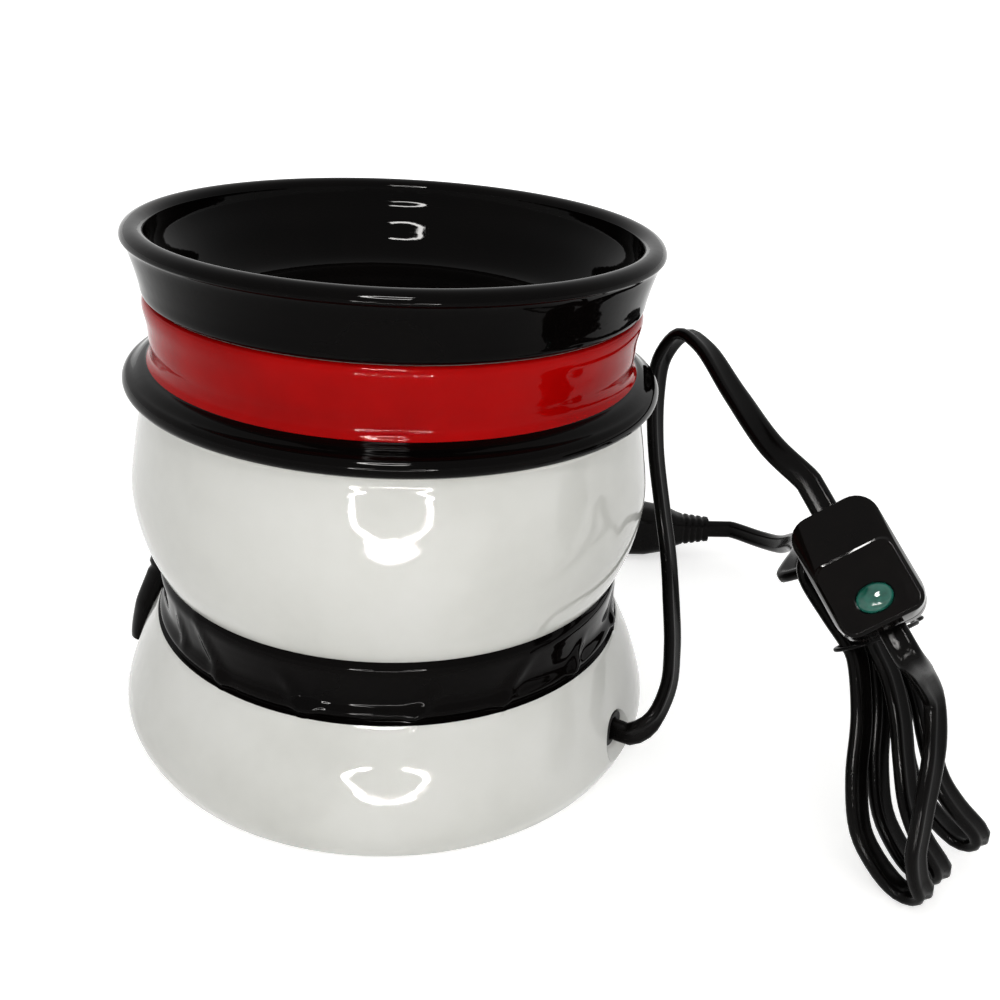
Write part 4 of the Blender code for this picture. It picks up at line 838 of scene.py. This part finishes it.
bm = lofted([[(x, y, z) for x, y in rounded(w, t, 0.36 * t)] for w, t, z in levels])
bmesh.ops.transform(bm, matrix=ON_PLUG, verts=bm.verts)
plug = piece("plug_moulding", bm, [vinyl], node=["plug_body"], crease=55)
print("plug:", len(plug.data.polygons), "faces")

# %% [markdown]
# ## Ceramic body
# The body is slip-cast in one piece and then glazed in three colours, so it is one skin with three
# finishes. Each glaze zone is its own short profile, and neighbouring zones share their end points. All
# are spun and merged. Where two glazes meet there is a step or a crease in the casting, as the decorator
# needs an edge to stop at.

# %% Profile of the casting
NECK_R = 0.0680
SCARF_LOW_Z = 0.0376
SCARF_TOP_Z = 0.0552
SCARF_LIP = 0.0014
BAND_R = 0.0667
BAND_LOW_Z = 0.1156
CROWN_R = 0.0682
CROWN_Z = 0.1336
BRIM_R = 0.0746
BRIM_Z = 0.1110
BRIM_T = 0.0053
BRIM_ANGLES = (-68, -45, -20, 5, 30, 55, 84)
HEAD_TOP = (0.0707, 0.1022)
CHEEK = (0.0744, 0.0790)
SHOULDER = (0.0767, 0.0240)
BELLY_Z = 0.0095
FOOT_R = 0.0766
FOOT_LIFT = 0.0004
LEDGE_R = 0.0660
LEDGE_LOW_Z = 0.0048
LEDGE_TOP_Z = 0.0095
REBATE_R = 0.0724
WHITE, BLACK, RED = 0, 1, 2
TURNS = 288

scarf_h = SCARF_TOP_Z - SCARF_LOW_Z
rise = CROWN_Z - BAND_LOW_Z
crown_out = CROWN_R - BAND_R
SCARF_POINTS = [(0.4, 0.03), (1.0, 0.12), (0.0, 0.30), (0.0, 0.50), (0.2, 0.70), (0.3, 0.88), (-0.5, 1.0)]
BAND_POINTS = [(0.0002, 0.08), (0.0, 0.22), (0.0003, 0.34), (0.45 * crown_out, 0.60), (crown_out, 0.88),
               (crown_out - 0.0005, 0.97), (crown_out - 0.0016, 1.0)]

skirt = flow([
    (FOOT_R, FOOT_LIFT), (FOOT_R + 0.0009, FOOT_LIFT + 0.0009), (BELLY_R, BELLY_Z), SHOULDER,
    (NECK_R + 1.5 * SCARF_LIP, SCARF_LOW_Z),
], 8)
scarf = flow([skirt[-1], *((NECK_R + out * SCARF_LIP, SCARF_LOW_Z + share * scarf_h)
                           for out, share in SCARF_POINTS)], 4)
head = flow([
    scarf[-1], (NECK_R + 0.2 * SCARF_LIP, SCARF_TOP_Z + 0.0008), (0.0724, 0.0660), CHEEK, (0.0726, 0.0925),
    HEAD_TOP, (HEAD_TOP[0] - 0.0006, BRIM_Z - 0.90 * BRIM_T),
    (HEAD_TOP[0] + 0.0006, BRIM_Z - 0.62 * BRIM_T),
], 8)
brim = flow([
    head[-1], *arc(BRIM_R - BRIM_T / 2, BRIM_Z, BRIM_T / 2, BRIM_T / 2, BRIM_ANGLES),
    (BAND_R + 0.0034, BAND_LOW_Z - 0.0006), (BAND_R + 0.0013, BAND_LOW_Z),
], 3)
band = flow([brim[-1], *((BAND_R + out, BAND_LOW_Z + share * rise) for out, share in BAND_POINTS)], 4)
inside = flow([
    (CROWN_R - WALL, CROWN_Z), (CROWN_R - WALL, CROWN_Z - 0.0005), (BAND_R - WALL, BAND_LOW_Z),
    (HEAD_TOP[0] - WALL, HEAD_TOP[1]), (CHEEK[0] - WALL, CHEEK[1]), (NECK_R - WALL, SCARF_TOP_Z - 0.002),
    (NECK_R - WALL, SCARF_LOW_Z + 0.003), (SHOULDER[0] - WALL, SHOULDER[1]),
    (BELLY_R - WALL, LEDGE_TOP_Z + 0.0062), (BELLY_R - 1.4 * WALL, LEDGE_TOP_Z),
], 4)
ledge = [inside[-1], (LEDGE_R, LEDGE_TOP_Z), (LEDGE_R, LEDGE_LOW_Z), (REBATE_R, LEDGE_LOW_Z),
         (REBATE_R, FOOT_LIFT), skirt[0]]
print("profile points:", sum(map(len, (skirt, scarf, head, brim, band, inside, ledge))))

# %% [markdown]
# The scarf is modelled, not only painted. Its slanting folds stand out from the neck by about a
# millimetre. Each is a ridge from a low point to a high one, given by angle and share of the scarf's
# height. After spinning, the scarf's points are pushed out along their radius by the highest ridge there.

# %% Spin the casting and raise the folds
FOLD_H = 0.0010
FOLD_W = 0.0017
FOLD_FADE = 0.8
FOLDS = [
    (-140, 0.30, -143, 0.72), (-124, 0.06, -134, 0.92), (-103, 0.04, -108, 0.62), (-103, 0.04, -98, 0.36),
    (-79, 0.08, -74, 0.50), (-59, 0.06, -51, 0.78), (-37, 0.08, -32, 0.55), (-12, 0.06, -4, 0.80),
    (18, 0.06, 14, 0.60), (18, 0.06, 23, 0.45), (50, 0.08, 57, 0.70), (84, 0.08, 80, 0.50),
    (112, 0.06, 119, 0.75), (142, 0.08, 136, 0.62),
]


def fold(angle, share):
    """Height of the folds at a place on the scarf."""
    here = Vector((angle * NECK_R, share * scarf_h))
    height = 0.0
    for low_angle, low, high_angle, high in FOLDS:
        start = Vector((math.radians(low_angle) * NECK_R, low * scarf_h))
        along = Vector((math.radians(high_angle) * NECK_R, high * scarf_h)) - start
        t = min(max((here - start).dot(along) / along.length_squared, 0.0), 1.0)
        away = (here - start - along * t).length / FOLD_W
        height = max(height, FOLD_H * (1 - FOLD_FADE * t * t) * math.exp(-away * away))
    return height


bm = bmesh.new()
for zone, glaze in ((skirt, WHITE), (scarf, BLACK), (head, WHITE), (brim, BLACK), (band, RED),
                    ([band[-1], inside[0]], WHITE), (inside, WHITE), (ledge, WHITE)):
    spun(bm, zone, TURNS, glaze)
closed_up(bm)
for vert in bm.verts:
    r = math.hypot(vert.co.x, vert.co.y)
    share = (vert.co.z - SCARF_LOW_Z) / scarf_h
    if 0.0 < share < 1.0 and r > NECK_R - 0.5 * WALL:
        grown = 1 + fold(math.atan2(vert.co.y, vert.co.x), share) / r
        vert.co.x *= grown
        vert.co.y *= grown
casting = piece(
    "ceramic_casting", bm, [white_glaze, black_glaze, red_glaze],
    node=["ceramic_body"], crease=60,
)
print("casting:", len(casting.data.polygons), "faces before the hole")

# %% [markdown]
# The cord hole is pierced while the clay is soft, and its mouth is wiped round with a finger. One turned
# tool with a flared mouth, laid along the cord's way out, cuts both.

# %% Cord hole
HOLE_R = 0.0056
HOLE_MOUTH_R = 0.0133
HOLE_TURNS = 48
hole_mouth = BELLY_R + 0.004
hole_end = BELLY_R - 3 * WALL
hole_across = Vector((-HOLE_OUT.y, HOLE_OUT.x, 0.0))
ON_HOLE = Matrix.Translation((0, 0, HOLE_Z)) @ Matrix((-UP, hole_across, HOLE_OUT)).transposed().to_4x4()
flare = flow([
    (HOLE_MOUTH_R, hole_mouth), (0.0088, BELLY_R - 0.0006), (0.0066, BELLY_R - 0.0022),
    (HOLE_R, BELLY_R - 0.0036),
], 4)
hole = bmesh.new()
spun(hole, flare + [(HOLE_R, hole_end), (0.0, hole_end)], HOLE_TURNS)
spun(hole, [(0.0, hole_mouth), (HOLE_MOUTH_R, hole_mouth)], HOLE_TURNS)
closed_up(hole)
bmesh.ops.transform(hole, matrix=ON_HOLE, verts=hole.verts)
cut(casting, hole)
print("casting:", len(casting.data.polygons), "faces")

# %% [markdown]
# The scarf's end hangs over the shoulder on the far left. It is a flat, slightly pinched strip with soft
# pleats along it. Sections are set out down its length and bridged, and the pleats are a wave across each
# section that grows towards the loose end.

# %% Hanging end of the scarf
TAIL_TOP_Z, TAIL_END_Z = 0.0560, 0.0130
TAIL_TOP_AZ, TAIL_END_AZ = math.radians(174.0), math.radians(170.0)
TAIL_TOP_PROUD, TAIL_END_PROUD = 0.0108, 0.0044
TAIL_TOP_W, TAIL_END_W = 0.0200, 0.0270
TAIL_SUNK = 0.0026
PLEATS = 3
PLEAT_H = 0.0006
PINCH, PINCH_END = 0.22, 0.7
TAIL_EDGE = 0.0008
SECTIONS = 26


def skin_r(z):
    """Outside radius of the casting at a height."""
    best = 0.0
    outline = [*skirt, *scarf, *head]
    for p, q in zip(outline, outline[1:]):
        if min(p[1], q[1]) <= z <= max(p[1], q[1]) and p[1] != q[1]:
            best = max(best, p[0] + (q[0] - p[0]) * (z - p[1]) / (q[1] - p[1]))
    return best


rings = []
for i in range(SECTIONS):
    t = i / (SECTIONS - 1)
    z = TAIL_TOP_Z + (TAIL_END_Z - TAIL_TOP_Z) * t
    angle = TAIL_TOP_AZ + (TAIL_END_AZ - TAIL_TOP_AZ) * t
    pinch = 1 - PINCH * math.sin(math.pi * min(t / PINCH_END, 1.0))
    width = (TAIL_TOP_W + (TAIL_END_W - TAIL_TOP_W) * t * t) * pinch
    proud = TAIL_TOP_PROUD + (TAIL_END_PROUD - TAIL_TOP_PROUD) * t
    depth = proud + TAIL_SUNK
    out = Vector((math.cos(angle), math.sin(angle), 0.0))
    along = Vector((-math.sin(angle), math.cos(angle), 0.0))
    middle = out * (skin_r(z) + proud - depth / 2) + UP * z
    ring = []
    for x, y in rounded(width, depth, 0.45 * depth, 10):
        pleat = PLEAT_H * (0.3 + 0.7 * t) * (math.cos(2 * math.pi * PLEATS * x / width) - 1.0)
        ring.append(middle + along * x + out * (y + (pleat if y > 0 else 0.0)))
    rings.append(ring)
bm = soften(lofted(rings), TAIL_EDGE, sharp=50)
tail = piece("scarf_tail", bm, [black_glaze], crease=60)
print("scarf tail:", len(tail.data.polygons), "faces")

# %% [markdown]
# ## Wax dish
# The dish is a loose black bowl with a thick rolled lip and a spigot below that drops into the crown. It
# is one spun profile that runs from the middle of the underside, out round the lip and back to the middle
# of the floor.

# %% Dish
RIM_R = 0.0725
RIM_Z = 0.1519
LIP_T = 0.0066
LIP_FLAT = 0.8
LIP_ANGLES = (-5, 20, 45, 70, 90, 110, 135, 160, 185)
FLOOR_Z = 0.1260
FLOOR_T = 0.0050
SEAT_Z = CROWN_Z + FIT
SPIGOT_R = CROWN_R - WALL - 0.0012
lip = LIP_T / 2
deep = RIM_Z - FLOOR_Z
outer = [
    (CROWN_R - 0.0002, SEAT_Z + 0.0008), (CROWN_R + 0.0006, SEAT_Z + 0.0045),
    (CROWN_R + 0.40 * (RIM_R - CROWN_R), SEAT_Z + 0.50 * (RIM_Z - SEAT_Z)),
    (RIM_R - 0.0008, RIM_Z - 1.15 * lip),
]
roll = arc(RIM_R - lip, RIM_Z - LIP_FLAT * lip, lip, LIP_FLAT * lip, LIP_ANGLES)
inner = [(RIM_R - LIP_T - 0.0008, RIM_Z - 0.26 * deep)]
for inset, share in ((0.0007, 0.48), (0.0036, 0.70), (0.0080, 0.88), (0.0165, 0.975), (0.0260, 1.0)):
    inner.append((SPIGOT_R - inset, RIM_Z - share * deep))
floor_low = FLOOR_Z - FLOOR_T
bowl = flow([(CROWN_R - 0.0012, SEAT_Z), *outer, *roll, *inner, (0.0, FLOOR_Z)], 4)
spigot = [(0.0, floor_low), (SPIGOT_R - 0.0070, floor_low), (SPIGOT_R - 0.0052, floor_low + 0.0003),
          (SPIGOT_R - 0.0006, floor_low + 0.0040), (SPIGOT_R, floor_low + 0.0050), (SPIGOT_R, SEAT_Z),
          (CROWN_R - 0.0012, SEAT_Z)]
bm = bmesh.new()
spun(bm, spigot, TURNS)
spun(bm, bowl, TURNS)
closed_up(bm)
dish = piece(
    "wax_dish_bowl", bm, [black_glaze], body="dish", node=["wax_dish"], crease=60,
)
print("dish:", len(dish.data.polygons), "faces")

# %% [markdown]
# ## Nodes that stay
# The remaining pieces are plain and right as they are: plates, screws, pads, the lamp and its holder. They
# keep their own meshes, which are loose triangles, so a weld closes them, smooth shading rounds their
# turned sides, and a split keeps the true edges crisp. Each gets the finish that such a piece has.

# %% Finish the kept nodes
kept = [
    (paint, ["base_plate"]),
    (zinc, ["cross_bar", "clamp_screw_front", "clamp_screw_rear", "clamp_nut_front", "clamp_nut_rear",
            "holder_screw", "switch_screw_top", "switch_screw_low"]),
    (rubber, ["foot_pad_1", "foot_pad_2", "foot_pad_3", "foot_pad_4", "cord_grommet"]),
    (porcelain, ["lamp_holder"]),
    (brass, ["holder_shell", "holder_contact", "terminal_live", "terminal_neutral", "bulb_cap",
             "switch_contact_left", "switch_contact_right"]),
    (insulator, ["bulb_contact"]),
    (lamp_glass, ["bulb_glass", "bulb_stem"]),
    (tungsten, ["bulb_filament"]),
    (vinyl, ["lead_live"]),
    (white_core, ["lead_neutral"]),
    (nickel, ["plug_blade_upper", "plug_blade_lower"]),
]
WELD_WITHIN = 1e-5
TRUE_EDGE = math.radians(35)
for used, names in kept:
    for name in names:
        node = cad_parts[name]
        node.data.materials.clear()
        node.data.materials.append(used)
        node.data.shade_smooth()
        weld = node.modifiers.new("weld", "WELD")
        weld.merge_threshold = WELD_WITHIN
        split = node.modifiers.new("edges", "EDGE_SPLIT")
        split.split_angle = TRUE_EDGE
    print(used.name, len(names))

# %% [markdown]
# The cord is one length with things on it: the first stretch ends in the switch, the second starts there,
# is folded into the hank and ends in the plug. Their lengths are the lengths of the lines above, because
# the photograph shows the whole cord.

# %% Cord facts
print("cord: %.2f m in all" % (length_of(body_line) + length_of(hank_line)))

# %% [markdown]
# ## Floor and backdrop
# The stage is a plain pale floor that curves up into a low wall all round, so that no edge shows from any
# side. It is a real surface that takes the object's shadow. To the eye, in mirrors and through glass it
# also glows a little, which makes the surround white without lighting the object.

# %% Studio helpers
def maths(tree, operation, *values):
    """The result of a sum over numbers and other nodes' outputs."""
    node = tree.nodes.new("ShaderNodeMath")
    node.operation = operation
    for socket, value in zip(node.inputs, values):
        if isinstance(value, float):
            socket.default_value = value
        else:
            tree.links.new(value, socket)
    return node.outputs[0]


def seen_by_eye(tree):
    """1 where a ray comes from the camera, a mirror or glass."""
    path = tree.nodes.new("ShaderNodeLightPath").outputs
    seen = maths(tree, "MAXIMUM", path["Is Camera Ray"], path["Is Glossy Ray"])
    return maths(tree, "MAXIMUM", seen, path["Is Transmission Ray"])


def staged(name, bm, used):
    """An object of the studio, which isn't part of the model."""
    mesh = mesh_of(name, bm)
    mesh.shade_smooth()
    mesh.materials.append(used)
    made = placed(name, mesh)
    return made


print("ready: maths, seen_by_eye, staged")

# %% [markdown]
# Floor and wall are one turned surface. Its glow grows with the distance from the object, so that the
# shadow near the foot stays and the rest fades to white.

# %% Stage
STAGE_R = 3.0
WALL_TOP = 0.5
NEAR_R, FAR_R = 0.25, 0.9
NEAR_GLOW, FAR_GLOW = 0.58, 1.0
stage_finish = bpy.data.materials.new("stage_paint")
stage_finish.use_nodes = True
tree = stage_finish.node_tree
shader = tree.nodes["Principled BSDF"]
put(shader, Base_Color=(0.80, 0.80, 0.79, 1), Emission_Color=(1, 1, 1, 1))
put(shader, Roughness=0.9, Specular_IOR_Level=0.0)
where = tree.nodes.new("ShaderNodeTexCoord")
far = tree.nodes.new("ShaderNodeVectorMath")
far.operation = "LENGTH"
fade = tree.nodes.new("ShaderNodeMapRange")
put(fade, From_Min=NEAR_R, From_Max=FAR_R, To_Min=NEAR_GLOW, To_Max=FAR_GLOW)
tree.links.new(where.outputs["Object"], far.inputs[0])
tree.links.new(far.outputs["Value"], fade.inputs["Value"])
glow = maths(tree, "MULTIPLY", fade.outputs["Result"], seen_by_eye(tree))
tree.links.new(glow, shader.inputs["Emission Strength"])
bm = bmesh.new()
cove = flow([(0.0, 0.0), (1.2, 0.0), (STAGE_R - 0.5, 0.0), (STAGE_R - 0.1, 0.12), (STAGE_R, 0.35)], 6)
spun(bm, cove + [(STAGE_R, WALL_TOP)], 96)
staged("stage", closed_up(bm), stage_finish)
print("stage: %.1f m across" % (2 * STAGE_R))

# %% [markdown]
# Over the wall the room is white to the eye and in gloss, as a white tent would be. It lights the object
# at half that level, so that pale glaze keeps its colour.

# %% Room
ROOM_LEVEL = 0.50
world = bpy.data.worlds.new("room")
bpy.context.scene.world = world
world.use_nodes = True
tree = world.node_tree
room_light = tree.nodes["Background"]
put(room_light, Color=(1, 1, 1, 1))
strength = maths(tree, "MULTIPLY_ADD", seen_by_eye(tree), 1.0 - ROOM_LEVEL, ROOM_LEVEL)
tree.links.new(strength, room_light.inputs["Strength"])
print("room level:", ROOM_LEVEL)

# %% [markdown]
# ## Lamps
# Four broad, weak panels light the object from above, both sides and behind, and a thin ring round the
# camera from the front. The others are for the gloss: an open ring low in front, one above the dish and a
# spot behind draw the small bright loops and lines that glaze and moulding show. They give little light,
# so that colours stay as written. Gloss shows them brighter, but only from a span of distances, so that
# the rims on the other side stay clean.

# %% Lamp makers
WARM = (1.0, 0.98, 0.96)
RING_STEPS = 72


def facing(at, aim):
    """Place and turn of a lamp that looks at a point."""
    look = (Vector(aim) - Vector(at)).to_track_quat("-Z", "Y")
    return Matrix.Translation(at) @ look.to_matrix().to_4x4()


def panel(name, at, aim, size, power, colour=(1, 1, 1)):
    """A broad lamp that neither camera nor gloss sees."""
    lamp = bpy.data.lights.new(name, "AREA")
    lamp.size = size
    lamp.energy = power
    lamp.color = colour
    made = placed(name, lamp)
    made.matrix_world = facing(at, aim)
    made.visible_camera = False
    made.visible_glossy = False
    return made


def ring_lamp(name, at, aim, half, width, glow, mirrored, reach, gap_at=90.0, gap=0.0):
    """A glowing ring with half sizes, open by an angle. Gloss within its reach shows it brighter."""
    used = bpy.data.materials.new(name)
    used.use_nodes = True
    tree = used.node_tree
    lit = tree.nodes["Principled BSDF"]
    put(lit, Base_Color=(0, 0, 0, 1), Emission_Color=(*WARM, 1))
    path = tree.nodes.new("ShaderNodeLightPath").outputs
    near, far = reach
    within = maths(tree, "COMPARE", path["Ray Length"], (near + far) / 2, (far - near) / 2)
    both = maths(tree, "MULTIPLY", path["Is Glossy Ray"], within)
    gain = maths(tree, "MULTIPLY_ADD", both, mirrored - glow, glow)
    tree.links.new(gain, lit.inputs["Emission Strength"])
    bm = bmesh.new()
    begin = math.radians(gap_at + gap / 2)
    ends = [bm.verts.new((r * math.cos(begin), r * math.sin(begin), 0.0))
            for r in (half[0] - width / 2, half[0] + width / 2)]
    bar = bm.edges.new(ends)
    bmesh.ops.spin(bm, geom=[*ends, bar], cent=(0, 0, 0), axis=(0, 0, 1),
                   angle=math.radians(360 - gap), steps=RING_STEPS)
    bmesh.ops.scale(bm, vec=(1, half[1] / half[0], 1), verts=bm.verts)
    bmesh.ops.transform(bm, matrix=facing(at, aim), verts=bm.verts)
    made = staged(name, bm, used)
    made.visible_camera = False
    return made


print("ready: panel, ring_lamp")

# %% [markdown]
# Each lamp is given by its place, what it faces, its size and its strength.

# %% Lamps
BODY_MIDDLE = (0.0, 0.0, 0.06)
panel("overhead_panel", (-0.10, -0.20, 1.10), (0.0, 0.0, 0.05), 0.9, 1.0)
panel("left_panel", (-1.0, -0.5, 0.7), BODY_MIDDLE, 0.6, 1.0, WARM)
panel("right_panel", (1.0, -0.6, 0.5), BODY_MIDDLE, 0.6, 1.2, WARM)
panel("back_panel", (0.1, 1.1, 0.7), BODY_MIDDLE, 0.7, 1.8)
camera_ring = ring_lamp(
    "camera_ring", EYE, (0.0, 0.0, 0.09), half=(0.105, 0.105), width=0.014,
    glow=11.0, mirrored=11.0, reach=(0.0, 1.0),
)
camera_ring.visible_glossy = False
ring_lamp(
    "low_ring", (0.056, -0.60, 0.080), (0.01, 0.0, 0.080), half=(0.165, 0.065), width=0.019,
    glow=8.0, mirrored=170.0, reach=(0.0, 0.575), gap_at=90.0, gap=50.0,
)
ring_lamp(
    "top_ring", (0.02, -0.317, 0.46), (-0.005, 0.058, 0.1345), half=(0.070, 0.070), width=0.022,
    glow=1.0, mirrored=220.0, reach=(0.0, 0.53), gap_at=0.0, gap=100.0,
)
ring_lamp(
    "edge_lamp", (-0.160, 0.62, 0.408), SWITCH_MIDDLE, half=(0.033, 0.033), width=0.064,
    glow=1.0, mirrored=65.0, reach=(0.775, 0.87),
)
print("lamps: 4 panels, 3 rings and a spot")
